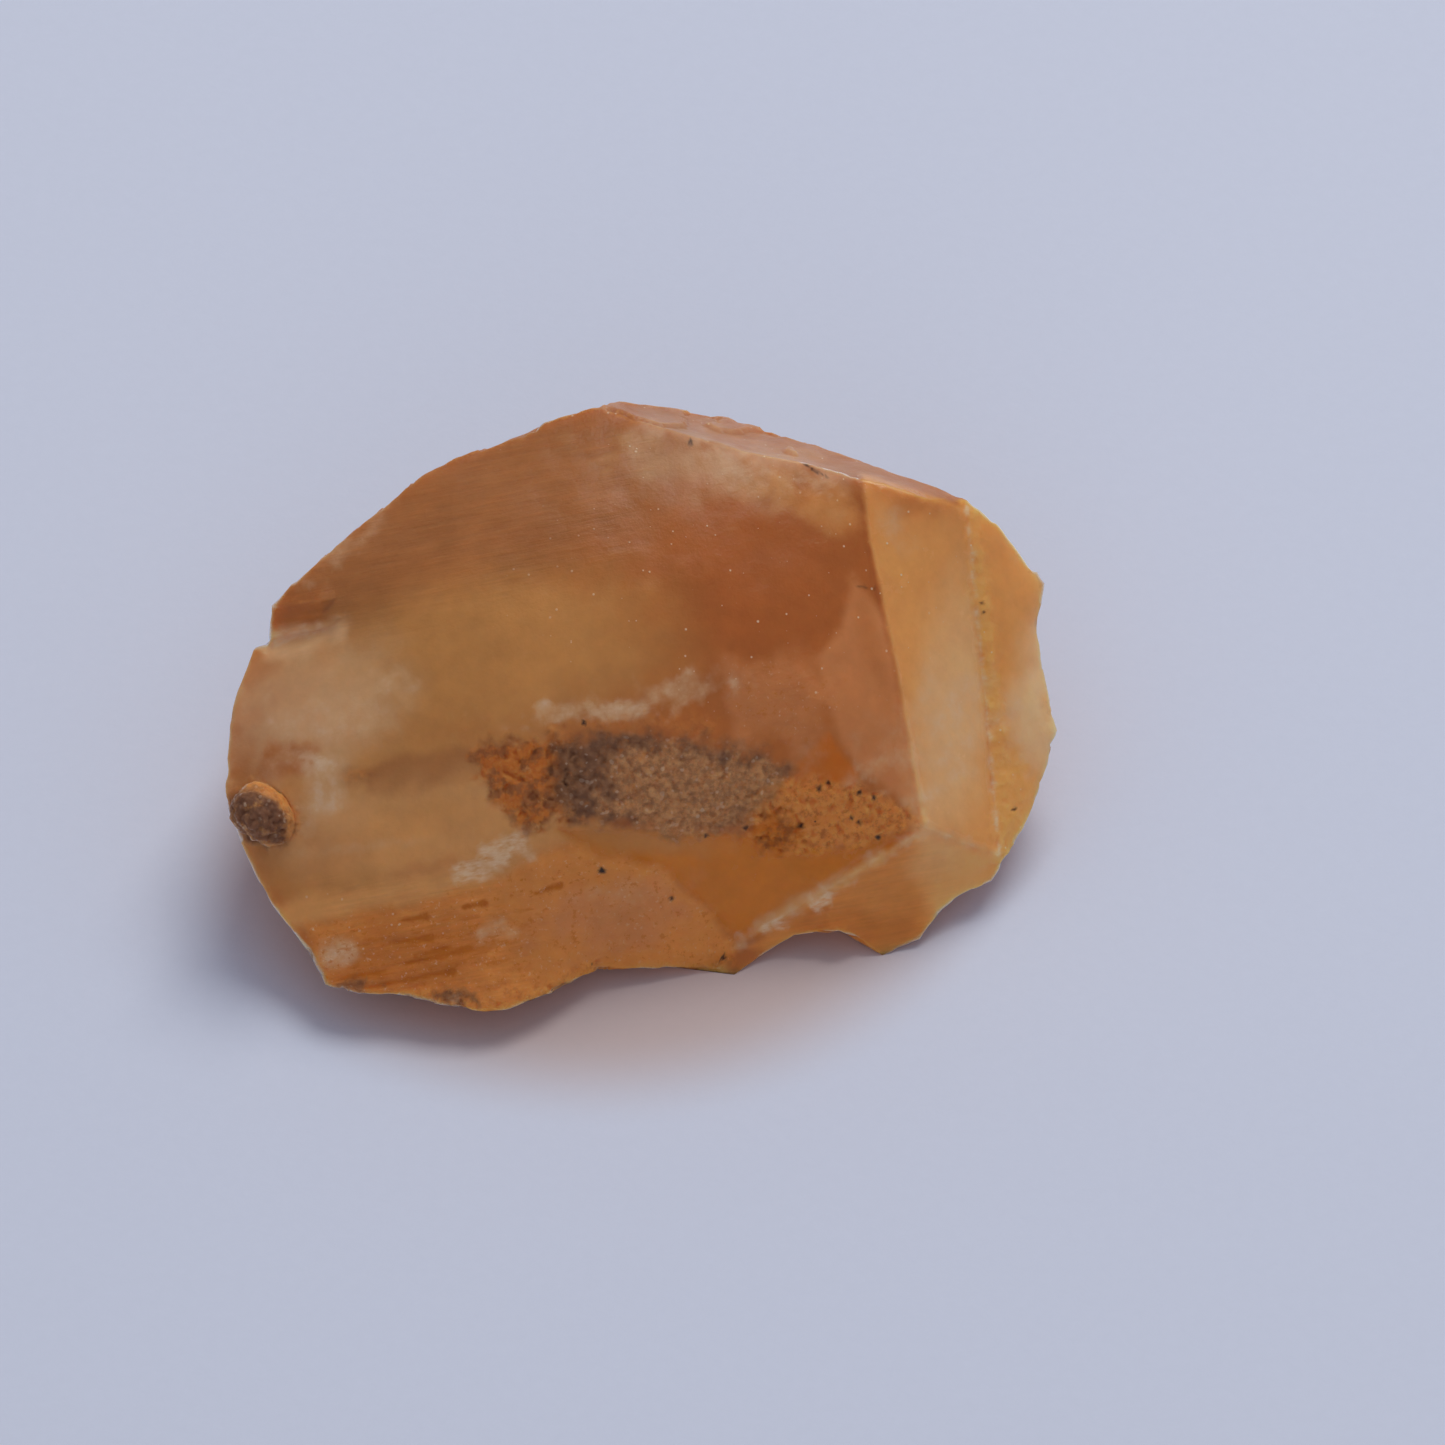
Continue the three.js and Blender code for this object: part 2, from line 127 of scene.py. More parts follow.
def distance_to_line(spots: np.ndarray, start: Point, end: Point) -> tuple[np.ndarray, np.ndarray]:
    """The distance from each spot to a straight piece of line.

    Args:
        spots: Chart positions, one a row.
        start: One end of the line.
        end: Its other end.

    Returns:
        The distances, and how far along the line the nearest place is, from 0 to 1.
    """
    a = np.array(start)
    run = np.array(end) - a
    along = np.clip((spots - a) @ run / (run @ run), 0.0, 1.0)
    return np.linalg.norm(spots - a - along[:, None] * run, axis=1), along


@dataclass(frozen=True)
class Oval:
    """An ellipse, turned by an angle in degrees."""

    centre: Point
    radii: Point
    turn: float = 0.0

    def depth(self, spots: np.ndarray) -> np.ndarray:
        """How far inside the oval each spot is, in millimetres."""
        c, s = math.cos(math.radians(self.turn)), math.sin(math.radians(self.turn))
        offset = spots - np.array(self.centre)
        turned = offset @ np.array(((c, -s), (s, c)))
        return (1.0 - np.linalg.norm(turned / np.array(self.radii), axis=1)) * min(self.radii)


@dataclass(frozen=True)
class Outline:
    """A closed shape with straight sides."""

    corners: tuple[Point, ...]

    def depth(self, spots: np.ndarray) -> np.ndarray:
        """How far inside the outline each spot is, in millimetres."""
        nearest = np.full(len(spots), np.inf)
        inside = np.zeros(len(spots), bool)
        u, v = spots[:, 0], spots[:, 1]
        for start, end in zip(self.corners, self.corners[1:] + self.corners[:1]):
            nearest = np.minimum(nearest, distance_to_line(spots, start, end)[0])
            if start[1] != end[1]:
                crossing = (end[0] - start[0]) * (v - start[1]) / (end[1] - start[1]) + start[0]
                inside ^= ((start[1] > v) != (end[1] > v)) & (u < crossing)
        return np.where(inside, nearest, -nearest)


@dataclass(frozen=True)
class Trail:
    """A line through some points, with a half width that changes from its start to its end."""

    points: tuple[Point, ...]
    start_width: float
    end_width: float

    def depth(self, spots: np.ndarray) -> np.ndarray:
        """How far inside the trail each spot is, in millimetres."""
        best = np.full(len(spots), -np.inf)
        pieces = len(self.points) - 1
        for i, (start, end) in enumerate(zip(self.points, self.points[1:])):
            distance, along = distance_to_line(spots, start, end)
            width = self.start_width + (self.end_width - self.start_width) * (i + along) / pieces
            best = np.maximum(best, width - distance)
        return best


# ---- Patches: painted areas with soft, ragged borders.


@dataclass
class SkinPoints:
    """The places and directions of the skin's points, and the random fields over them.

    Attributes:
        places: One point a row, in millimetres.
        normals: The outward direction at each point.
    """

    places: np.ndarray
    normals: np.ndarray
    fields: dict[tuple[float, int, float], np.ndarray] = field(default_factory=dict)

    def wander(self, size: float, octaves: int = 3, seed: float = 0.0) -> np.ndarray:
        """A smooth random field.

        Args:
            size: The size of its lumps.
            octaves: How many finer layers it has.
            seed: Picks another field of the same kind.

        Returns:
            A value for each point, about -1 to 1.
        """
        key = (size, octaves, seed)
        if key not in self.fields:
            shift = Vector((31.7 * seed, 17.3 * seed, -23.9 * seed))
            scaled = self.places / size
            values = [noise.fractal(Vector(p) + shift, 1.0, 2.0, octaves) for p in scaled]
            self.fields[key] = np.array(values)
        return self.fields[key]

    def facing(self, side: Side, low: float = -0.1, high: float = 0.12) -> np.ndarray:
        """How much each point looks to a side, from 0 to 1."""
        return rise(low, high, self.normals @ side.outward)


@dataclass(frozen=True)
class Patch:
    """A shape on one side of the chunk.

    Attributes:
        shape: The shape on the side's chart.
        side: The side it lies on.
        soft: The width over which it fades.
        ragged: How far its border wanders.
        lump: The size of the wandering.
        strength: Its cover at full depth.
    """

    shape: Shape
    side: Side = Side.FRONT
    soft: float = 1.5
    ragged: float = 0.6
    lump: float = 2.5
    strength: float = 1.0

    def cover(self, skin: SkinPoints) -> np.ndarray:
        """How much of each point the patch covers, from 0 to 1."""
        depth = self.shape.depth(self.side.chart(skin.places))
        depth += self.ragged * RAGGED_GAIN * skin.wander(self.lump)
        return self.strength * rise(-self.soft / 2, self.soft / 2, depth) * skin.facing(self.side)


@dataclass(frozen=True)
class Tone:
    """One colour of the stone's body and the patch it fills."""

    colour: Colour
    patch: Patch


@dataclass(frozen=True)
class StonePalette:
    """The colours of the stone, as linear reflectances."""

    honey: Colour = (0.57, 0.175, 0.033)
    deep_honey: Colour = (0.56, 0.16, 0.029)
    gold: Colour = (0.69, 0.31, 0.082)
    straw: Colour = (0.81, 0.38, 0.11)
    brown_honey: Colour = (0.50, 0.19, 0.053)
    # painted sheen: a pale pink that stands in for the grazing reflection on the back slope
    painted_sheen: Colour = (0.72, 0.47, 0.32)
    cream: Colour = (0.82, 0.50, 0.21)
    peach: Colour = (0.93, 0.50, 0.195)
    apricot: Colour = (0.89, 0.39, 0.10)
    rose: Colour = (0.765, 0.295, 0.092)
    milk: Colour = (0.84, 0.54, 0.28)
    amber: Colour = (0.76, 0.235, 0.007)
    tan: Colour = (0.82, 0.31, 0.062)
    burnt: Colour = (0.66, 0.21, 0.030)
    stroke: Colour = (0.62, 0.17, 0.003)
    ember: Colour = (0.72, 0.19, 0.012)
    pale_toe: Colour = (1.0, 0.465, 0.138)
    shell: Colour = (0.97, 0.57, 0.26)
    charcoal: Colour = (0.22, 0.094, 0.044)
    ash: Colour = (0.645, 0.295, 0.107)
    rust: Colour = (0.66, 0.18, 0.017)
    dark_rust: Colour = (0.34, 0.092, 0.018)
    loam: Colour = (0.88, 0.33, 0.066)
    dark_loam: Colour = (0.58, 0.19, 0.036)
    sand: Colour = (0.99, 0.455, 0.115)
    speck: Colour = (0.045, 0.022, 0.012)
    chip: Colour = (0.88, 0.68, 0.47)
    bloom: Colour = (0.96, 0.74, 0.47)


PALETTE = StonePalette()

# Lines and areas on the front chart that several zones share.
ARRIS: tuple[Point, ...] = (
    (18.6, 27.0), (19.0, 23.3), (20.0, 19.1), (21.3, 12.3), (23.0, 3.0), (23.8, -0.5),
)
CLEAVAGE = Outline((
    *ARRIS, (30.0, -3.2), (28.9, 9.8), (28.0, 18.3), (27.3, 25.9), (23.8, 27.2), (18.4, 29.0),
))
SEAM_LINE: tuple[Point, ...] = (
    (27.6, 26.2), (28.2, 21), (28.7, 16), (29.5, 9.6), (30.2, 4.4), (30.6, -3.4),
)
SEAM_EDGE: tuple[Point, ...] = ((27.3, 26.0), (28.0, 18.3), (28.9, 9.8), (30.0, -3.1))
WINDOW = Outline((
    (-7, -1.0), (8.6, -1.6), (16, -2.8), (24, -0.9), (17.5, -4.7), (11.6, -9.2), (8.0, -10.6),
    (5.2, -7.6), (1.6, -4.3), (-3.4, -3.5),
))
SHOULDER = Outline(((-33, 21), (-10, 33.5), (5, 34), (4, 27), (-2, 23), (-14, 20.5), (-27, 15.5)))
LOBE = Outline((
    (-28, -9.0), (-19, -7.4), (-12, -5.0), (-6, -2.2), (-3.4, -3.3), (1.6, -4.3), (5.2, -7.6), (8, -11),
    (6, -15), (-14, -18), (-27, -17),
))
TOE = Outline((
    (24, -1.2), (27, -7), (24, -11), (20.8, -13), (14, -12), (9, -11), (12.5, -8.0), (18, -4.3),
))
RIDGE: tuple[Point, ...] = ((8.0, -10.7), (13.2, -7.5), (19.0, -3.9), (23.9, -1.0))

# Dark orange strokes on the lobe, each a line on the front chart.
STROKES: tuple[tuple[Point, ...], ...] = (
    ((-19.9, -12.3), (-14.4, -11.0)),
    ((-19.0, -11.6), (-16.2, -11.0)),
    ((-23.2, -14.3), (-15.8, -12.9)),
    ((-25.8, -13.7), (-21.6, -12.9)),
    ((-21.2, -10.6), (-17.8, -10.1)),
    ((-15.0, -7.6), (-13.3, -7.2)),
    ((-20.2, -8.7), (-18.2, -8.3)),
    ((-8.9, -6.4), (-6.9, -5.8)),
)

# Small dark grains that show one by one, each as its place on the front chart and its radius.
SPECKS: tuple[tuple[Point, float], ...] = (
    ((-3.4, -4.5), 0.26), ((2.4, -6.9), 0.18), ((6.7, -11.9), 0.26), ((-4.9, 7.9), 0.2),
    ((14.8, 2.4), 0.2), ((15.6, 2.8), 0.15), ((18.2, 2.0), 0.2), ((19.4, 1.6), 0.2),
    ((17.5, -0.1), 0.22), ((13.3, -0.7), 0.22), ((18.2, -0.5), 0.16), ((19.8, -1.7), 0.22),
    ((4.0, 31.4), 0.16), ((28.5, 18.0), 0.12), ((28.7, 17.2), 0.1), ((31.3, 0.6), 0.14),
    ((5.4, -1.7), 0.18), ((8.7, -0.9), 0.18),
)


def left_tones() -> list[Tone]:
    """The colours of the stone's left half.

    Returns:
        Tones to lay over each other in this order.
    """
    p = PALETTE
    notch = Outline(((-31.6, 18.2), (-27.0, 19.4), (-26.7, 16.2), (-30.6, 15.2), (-32.0, 15.6)))
    nook = Outline(((-32.5, 3.4), (-31.3, 6.4), (-27.1, 5.9), (-27.4, 3.6)))
    step_shade = Outline(((-23.3, 4.2), (-20.5, 5.2), (-14.0, 6.2), (-13.6, 3.4), (-19, 1.6), (-23, 2.0)))
    sill = Trail(((-30.8, 14.4), (-25.8, 15.6)), 1.2, 0.9)
    return [
        Tone(p.gold, Patch(Oval((-14, 13.6), (16, 7.5), 6), soft=7)),
        Tone(p.brown_honey, Patch(SHOULDER, soft=7, strength=0.85)),
        Tone(p.gold, Patch(Oval((-21, 0), (15, 8), 8), soft=6)),
        Tone(p.milk, Patch(Oval((-28, 9), (7.5, 5), 20), soft=6, strength=0.5)),
        Tone(p.milk, Patch(Oval((-20, -0.6), (10, 3.0), 8), soft=5, strength=0.45)),
        # painted shade: a brown band below the step line, crisp at the top and fading downward
        Tone(p.brown_honey, Patch(step_shade, soft=1.1, ragged=0.3, strength=0.7)),
        Tone(p.straw, Patch(Oval((-16.5, -1.2), (9.5, 4.0), 6), soft=4.5)),
        Tone(p.honey, Patch(nook, soft=1.2, ragged=0.4, strength=0.8)),
        Tone(p.honey, Patch(Oval((-27.9, -3.0), (4.6, 2.4), -8), soft=2.5, strength=0.22)),
        Tone(p.honey, Patch(Oval((-18, -4.4), (5.0, 0.5), 9), soft=1.2, strength=0.35)),
        Tone(
            p.straw,
            Patch(Trail(((-30.5, -8.4), (-20, -6.4), (-9, -4.6)), 1.2, 0.8), soft=1.6, ragged=0.4)
        ),
        Tone(p.deep_honey, Patch(notch, soft=0.5, ragged=0.1, strength=0.4)),
        Tone(p.shell, Patch(sill, soft=1.4, ragged=0.3, strength=0.8)),
    ]


def front_tones() -> list[Tone]:
    """The colours of the dome, the window, the lobe and the toe.

    Returns:
        Tones to lay over each other in this order.
    """
    p = PALETTE
    facet = Outline((
        (17.6, 20.4), (20.4, 16.6), (23.7, -0.2), (18.4, 3.9), (16.6, 6.0), (14.6, 13.2), (16.6, 16.0),
    ))
    rough = Outline(((7, 13), (15.4, 14), (16.0, 7.2), (13, 5.6), (7, 7.0)))
    ember = Outline(((11.1, 2.0), (15.5, 7.0), (18.1, 3.9), (17.5, 2.0)))
    toe_right = Outline(((23.2, -0.9), (31, -3.0), (28, -8), (25, -9.5), (22.8, -5.0)))
    return [
        Tone(p.deep_honey, Patch(Oval((13.0, 19), (8.5, 9.5), 10), soft=6)),
        Tone(p.rose, Patch(rough, soft=2.5, ragged=1.0, strength=0.7)),
        Tone(p.rose, Patch(facet, soft=1.0, ragged=0.1, strength=0.85)),
        Tone(p.honey, Patch(Oval((19.2, 14.5), (0.7, 5.5), 15), soft=1.5, ragged=0.2, strength=0.4)),
        Tone(p.amber, Patch(WINDOW, soft=0.8, ragged=0.15)),
        Tone(p.gold, Patch(Oval((0, -2.0), (6, 1.0), -6), soft=1.6, ragged=0.3, strength=0.6)),
        Tone(p.ember, Patch(ember, soft=0.8, ragged=0.2)),
        Tone(p.tan, Patch(LOBE, soft=0.9, ragged=0.3)),
        Tone(p.burnt, Patch(Oval((-20, -12), (8.5, 3.6), 10), soft=4.5, ragged=0.8, strength=0.9)),
        Tone(p.rose, Patch(Oval((-2.5, -8.5), (6, 2.6), 12), soft=3.0, ragged=1.0, strength=0.8)),
        Tone(p.tan, Patch(TOE, soft=0.9, ragged=0.2)),
        Tone(p.burnt, Patch(Oval((18, -9.5), (5.5, 1.4), -8), soft=2.0, ragged=0.6, strength=0.7)),
        Tone(p.pale_toe, Patch(toe_right, soft=2.4, ragged=0.4)),
        Tone(
            p.straw, Patch(Trail(((10, -9.2), (14, -6.9), (20, -3.4)), 0.5, 0.5), soft=0.9, ragged=0.2)
        ),
        Tone(p.cream, Patch(Oval((8.6, 29.0), (8.6, 2.5), -10), soft=4.0, ragged=1.2, strength=0.36)),
        Tone(p.apricot, Patch(Oval((15.2, 26.2), (4.6, 1.6), -24), soft=2.2, ragged=0.8, strength=0.55)),
        # painted sheen along the crest and back slope, standing in for the grazing reflection of the
        # light behind
        Tone(p.painted_sheen, Patch(Oval((12, 31.3), (17, 1.9), -14), soft=1.0, strength=0.28)),
    ]


def right_tones() -> list[Tone]:
    """The colours of the right cleavage face, the seam and the right end.

    Returns:
        Tones to lay over each other in this order.
    """
    p = PALETTE
    right_end = Outline((*SEAM_EDGE, (33, -1), (36, 5), (38, 12), (36, 20), (31, 28)))
    wide_seam = Outline(((29.9, 6.5), (31.6, 5.6), (33.4, 2.4), (32, -5), (30.0, -5)))
    return [
        Tone(p.apricot, Patch(CLEAVAGE, soft=0.5, ragged=0.05)),
        Tone(p.peach, Patch(Oval((25.9, 8.4), (3.0, 10.5), -6), soft=3.5, ragged=0.4, strength=0.9)),
        Tone(p.honey, Patch(Oval((22.2, 26.6), (3.6, 0.9), -14), soft=1.6, ragged=0.6, strength=0.5)),
        Tone(p.apricot, Patch(right_end, soft=0.5, ragged=0.1)),
        Tone(p.shell, Patch(Oval((34.0, 9.4), (3.0, 6.6), -8), soft=3.4, ragged=0.4)),
        Tone(
            p.peach,
            Patch(Trail(((31.0, 25), (35.0, 19.6), (34.4, 15.0)), 0.7, 0.9), soft=1.6, ragged=0.3)
        ),
        Tone(p.sand, Patch(wide_seam, soft=1.5, ragged=0.4, lump=1.2)),
        Tone(p.sand, Patch(Trail(SEAM_LINE, 0.65, 0.9), soft=0.7, ragged=0.3, lump=1.0, strength=0.9)),
    ]


def hidden_tones() -> list[Tone]:
    """The colours of the back and the underside.

    Returns:
        Tones to lay over each other in this order.
    """
    p = PALETTE
    return [
        Tone(p.gold, Patch(Oval((10, 16), (16, 9)), side=Side.BACK, soft=8)),
        Tone(
            p.milk, Patch(Oval((-14, 14), (9, 5), 20), side=Side.BACK, soft=5, ragged=1.5, strength=0.7)
        ),
        Tone(p.deep_honey, Patch(Oval((24, 10), (9, 7)), side=Side.BACK, soft=5)),
        Tone(
            p.rose, Patch(Oval((-4, 5), (14, 4), -8), side=Side.BACK, soft=4, ragged=1.5, strength=0.7)
        ),
        Tone(p.gold, Patch(Oval((0, 0), (20, 10)), side=Side.UNDER, soft=8)),
        Tone(p.apricot, Patch(Oval((14, 2), (9, 6), 20), side=Side.UNDER, soft=6, ragged=2.0)),
    ]


def body_tones() -> list[Tone]:
    """All colours of the stone's body, the later ones over the earlier ones."""
    return [*left_tones(), *front_tones(), *right_tones(), *hidden_tones()]


def earth_patches() -> dict[str, list[Patch]]:
    """The masks of the dark crust, the rust and the sandy loam.

    Returns:
        For each zone's name, the patches that make it up.
    """
    crust = Outline((
        (-7.6, 6.2), (-2, 7.0), (5, 6.5), (10.4, 5.2), (12.2, 3.6), (10.4, 1.2), (8.4, -0.9), (3, -1.6),
        (-2, -0.4), (-5.6, -0.3), (-7.6, 1.6),
    ))
    ash = Outline((
        (-3.0, 5.6), (4, 6.2), (9.6, 5.0), (11.9, 3.2), (10.2, 0.8), (8.4, -1.8), (2, -2.6),
        (-3.0, -0.4),
    ))
    rust_left = Outline((
        (-14.0, 5.4), (-12, 6.5), (-6, 6.8), (-5.6, 4.7), (-6.4, 0.0), (-9.4, -0.9), (-12.4, 1.1),
        (-13.6, 3.2),
    ))
    loam = Outline((
        (9, 1.2), (10.6, 3.0), (13.4, 3.2), (17.6, 2.8), (21.8, 0.9), (22.8, -0.6), (19.2, -2.3),
        (14.8, -3.0), (10.6, -2.7), (9, -1),
    ))
    knob_rim = Trail(((-34.0, 2.2), (-32.6, 2.6), (-30.4, 1.6), (-29.4, 0.0), (-29.6, -1.4)), 0.5, 0.6)
    lobe_rim = Trail(((-4.0, -12.6), (-8, -14.4), (-12.5, -15.6), (-18.4, -14.9)), 0.8, 0.6)
    return {
        "crust": [
            Patch(crust, soft=2.0, ragged=0.6, lump=1.3),
            Patch(Oval((-32.2, -0.1), (3.0, 2.0), -32), soft=0.9, ragged=0.25, lump=0.8),
            Patch(Oval((-16.0, -15.1), (1.5, 0.6), -4), soft=0.8, ragged=0.4, lump=0.8, strength=0.8),
            Patch(Oval((-24.4, -14.1), (1.5, 0.5)), soft=0.8, ragged=0.4, lump=0.8, strength=0.7),
            Patch(Oval((-6, 9), (5, 3), 20), side=Side.BACK, soft=1.5, ragged=1.2, strength=0.8),
        ],
        "ash": [
            Patch(ash, soft=3.2, ragged=1.3, lump=1.5),
            Patch(crust, soft=2.0, strength=0.18),
        ],
        "rust": [
            Patch(rust_left, soft=1.6, ragged=0.8, lump=1.3),
            Patch(Oval((-23.8, 3.5), (1.2, 0.6), 14), soft=1.2, ragged=0.4, strength=0.4),
            Patch(Oval((6.7, -11.9), (1.2, 0.7), -10), soft=1.0, ragged=0.5, lump=0.7, strength=0.55),
            Patch(Oval((11.2, -1.3), (2.1, 1.5), 10), soft=1.3, ragged=0.6, lump=0.9, strength=0.95),
            Patch(Oval((-6, 9), (8, 5), 20), side=Side.BACK, soft=2.5, ragged=1.5, strength=0.7),
            Patch(Oval((8, 6), (5, 3), -10), side=Side.UNDER, soft=2.5, ragged=1.5, strength=0.6),
        ],
        "loam": [
            Patch(loam, soft=1.2, ragged=0.5, lump=1.0),
            Patch(knob_rim, soft=0.9, ragged=0.3, lump=0.8, strength=0.6),
            Patch(lobe_rim, soft=1.2, ragged=0.5, lump=1.0, strength=0.6),
            Patch(
                Trail(((-7, 7.4), (0, 8.2), (6, 7.6)), 0.5, 0.5), soft=1.0, ragged=0.6, lump=1.0,
                strength=0.3
            ),
            Patch(Oval((12, 8), (6, 4), -20), side=Side.BACK, soft=3, ragged=1.5, strength=0.6),
            Patch(Oval((6, 9), (4, 3), 30), side=Side.RIGHT, soft=2, ragged=1.2, strength=0.5),
        ],
    }


def pale_patches() -> dict[str, list[Patch]]:
    """The masks of the milky veils, the white blooms and the pale grains that are partly dust and partly
    painted sparkle.

    Returns:
        For each zone's name, the patches that make it up.
    """
    fibres = Trail(((-15.0, -4.6), (-13.4, -3.7), (-10.4, -2.3)), 0.9, 1.1)
    return {
        "veil": [
            Patch(Oval((9, 28.9), (8.0, 2.0), -10), soft=2.6, ragged=1.3, strength=0.14),
            Patch(Oval((-27.0, 7.6), (5.6, 2.2), 14), soft=2.8, ragged=1.0, strength=0.6),
            Patch(Oval((-26.8, 2.6), (1.6, 2.8), -10), soft=1.6, ragged=0.6, strength=1.0),
            Patch(Oval((-21.5, 10.9), (1.8, 1.1), 30), soft=1.5, ragged=0.8, strength=0.7),
            Patch(Oval((-31.3, 9.0), (0.5, 1.8), 8), soft=1.0, ragged=0.3, strength=0.7),
            Patch(Oval((-4.6, 8.7), (4.4, 0.8), 4), soft=0.9, ragged=0.7, lump=1.5, strength=1.0),
            Patch(Oval((3.0, 10.5), (4.0, 1.1), 8), soft=1.4, ragged=0.8, lump=1.5, strength=0.8),
            Patch(Oval((-22.5, -2.4), (3.4, 0.3), 6), soft=0.9, ragged=0.2, strength=0.5),
            Patch(Oval((-25.4, -11.3), (1.7, 1.4)), soft=1.0, ragged=0.3, strength=0.9),
            Patch(Oval((-27, 22), (3.4, 1.0), 35), soft=1.4, ragged=1.0, strength=0.5),
            Patch(Oval((20.8, 24.6), (2.4, 1.0), -56), soft=1.5, ragged=0.8, strength=0.45),
            Patch(Oval((19.3, 3.1), (1.3, 0.35), -42), soft=0.7, ragged=0.4, lump=1.0, strength=0.7),
            Patch(Trail(RIDGE, 0.35, 0.25), soft=0.8, ragged=0.5, lump=1.1, strength=0.6),
            Patch(
                Trail(((23.9, -0.9), (26.4, -2.0), (29.8, -3.1)), 0.25, 0.2), soft=0.6, ragged=0.2,
                strength=0.6
            ),
            Patch(Oval((-12.4, -9.6), (1.6, 0.7), 14), soft=0.9, ragged=0.5, lump=1.0, strength=0.6),
            Patch(Oval((-1.5, -6.4), (2.4, 0.9), 10), soft=1.4, ragged=0.8, lump=1.2, strength=0.3),
            Patch(Oval((10, 13), (9, 4), 14), side=Side.BACK, soft=4, ragged=2.0, strength=0.6),
            Patch(Oval((-2, 14), (5, 3)), side=Side.RIGHT, soft=3, ragged=1.5, strength=0.5),
            Patch(Oval((2, 12), (6, 4)), side=Side.LEFT, soft=4, ragged=2.0, strength=0.5),
        ],
        "bloom": [
            Patch(fibres, soft=1.1, ragged=0.6, lump=1.4, strength=0.75),
            Patch(
                Trail(((-30.6, 15.0), (-27.0, 15.9)), 0.5, 0.2), soft=0.6, ragged=0.25, lump=0.9,
                strength=0.6
            ),
            Patch(Oval((11.2, -9.2), (0.9, 0.4), 20), soft=0.5, ragged=0.3, lump=0.8, strength=0.8),
            Patch(Oval((15.0, -7.2), (1.2, 0.6), 30), soft=0.5, ragged=0.3, lump=0.8, strength=0.9),
            Patch(Oval((7.6, 29.5), (2.2, 0.9), -16), soft=1.6, ragged=0.8, lump=1.2, strength=0.25),
            Patch(Oval((14.6, 28.0), (1.7, 0.6), -20), soft=0.9, ragged=0.6, lump=1.0, strength=0.25),
            Patch(Oval((-3.0, 8.9), (3.0, 0.5), 3), soft=0.8, ragged=0.6, lump=1.0, strength=0.35),
            Patch(Oval((-27.4, 4.9), (1.6, 0.3), -16), soft=0.5, ragged=0.2, lump=0.8, strength=0.5),
            Patch(Oval((-15.7, -15.2), (0.4, 0.35)), soft=0.4, ragged=0.1, lump=0.5),
            Patch(Trail(SEAM_EDGE, 0.06, 0.08), soft=0.35, ragged=0.2, lump=0.9, strength=0.7),
        ],
        # pale grains, partly dust and partly painted sparkle
        "dust_and_sparkle": [
            Patch(Oval((8, 18.5), (16, 10), 0), soft=7, ragged=1.5),
            Patch(Oval((-3, 32.5), (4.5, 1.6), -12), soft=1.2, ragged=0.6),
            Patch(Oval((15, 30), (10, 1.6), -14), soft=1.2, ragged=0.6),
            Patch(Oval((23, 22), (5, 4.5)), soft=3, ragged=1.0),
            Patch(Oval((-24, -10), (8, 4)), soft=4, ragged=1.0, strength=0.7),
            Patch(Oval((0, 24), (30, 14)), side=Side.BACK, soft=10, ragged=2.0, strength=0.7),
        ],
    }


def relief_patches() -> dict[str, list[Patch]]:
    """The masks of lines, polish, ridges and specks.

    Returns:
        For each zone's name, the patches that make it up.
    """
    fringe = Outline(((-26.5, -8.8), (-13, -7.4), (-8, -6.6), (-11, -15), (-25, -14.6)))
    return {
        "dash": [Patch(fringe, soft=1.6, ragged=0.8)],
        "stroke": [Patch(Trail(line, 0.14, 0.28), soft=0.28, ragged=0.12, lump=1.2) for line in STROKES],
        "streak": [
            Patch(
                Outline(((-34, 21), (-10, 34), (2, 34), (-2, 22), (-14, 18), (-30, 14))), soft=6,
                ragged=1.0
            ),
            Patch(Outline(((-27, -5), (-12, -5), (-8, -18), (-27, -17))), soft=2.0, ragged=0.8),
            Patch(TOE, soft=1.5, strength=0.9),
            Patch(Oval((0, 15), (34, 14)), side=Side.BACK, soft=8, strength=0.6),
        ],
        "sugar": [
            Patch(Trail(SEAM_LINE, 0.6, 0.9), soft=0.7, ragged=0.3, lump=0.8),
            Patch(
                Trail(((31.2, 4.0), (31.6, -2.4)), 1.0, 0.8), soft=1.2, ragged=0.4, lump=1.0,
                strength=0.7
            ),
            Patch(
                Trail(((-15, 32.3), (-9, 33.6), (-4, 34.6)), 0.4, 0.5), soft=0.5, ragged=0.3,
                strength=0.5
            ),
        ],
        "polish": [
            Patch(CLEAVAGE, soft=1.0, ragged=0.05),
            Patch(WINDOW, soft=1.0, ragged=0.1),
        ],
        "window": [Patch(WINDOW, soft=1.0, ragged=0.15)],
        "hackly": [
            Patch(LOBE, soft=1.6, ragged=0.4),
            Patch(Oval((11.5, 9.8), (4.6, 3.6), -20), soft=3.0, ragged=1.0, strength=0.8),
            Patch(Oval((0, 8), (30, 9)), side=Side.BACK, soft=8, ragged=2.0, strength=0.5),
        ],
        "ridge": [
            Patch(Trail(RIDGE, 0.15, 0.15), soft=1.3, ragged=0.1, lump=1.5),
            Patch(Trail(ARRIS, 0.02, 0.05), soft=0.9, ragged=0.03),
        ],
        "speck": [
            *(Patch(Oval(spot, (size, size)), soft=0.2, ragged=0.08, lump=0.4) for spot, size in SPECKS),
            Patch(
                Trail(((13.7, 29.6), (14.4, 29.1), (15.4, 28.6)), 0.12, 0.06), soft=0.2, ragged=0.1,
                lump=0.4
            ),
            Patch(
                Trail(((17.8, 19.4), (19.4, 19.1)), 0.08, 0.06), soft=0.2, ragged=0.1, lump=0.4,
                strength=0.5
            ),
        ],
    }


def zone_patches() -> dict[str, list[Patch]]:
    """All masks of the stone's special zones, by name."""
    return {**earth_patches(), **pale_patches(), **relief_patches()}


# ---- The skin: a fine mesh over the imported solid.


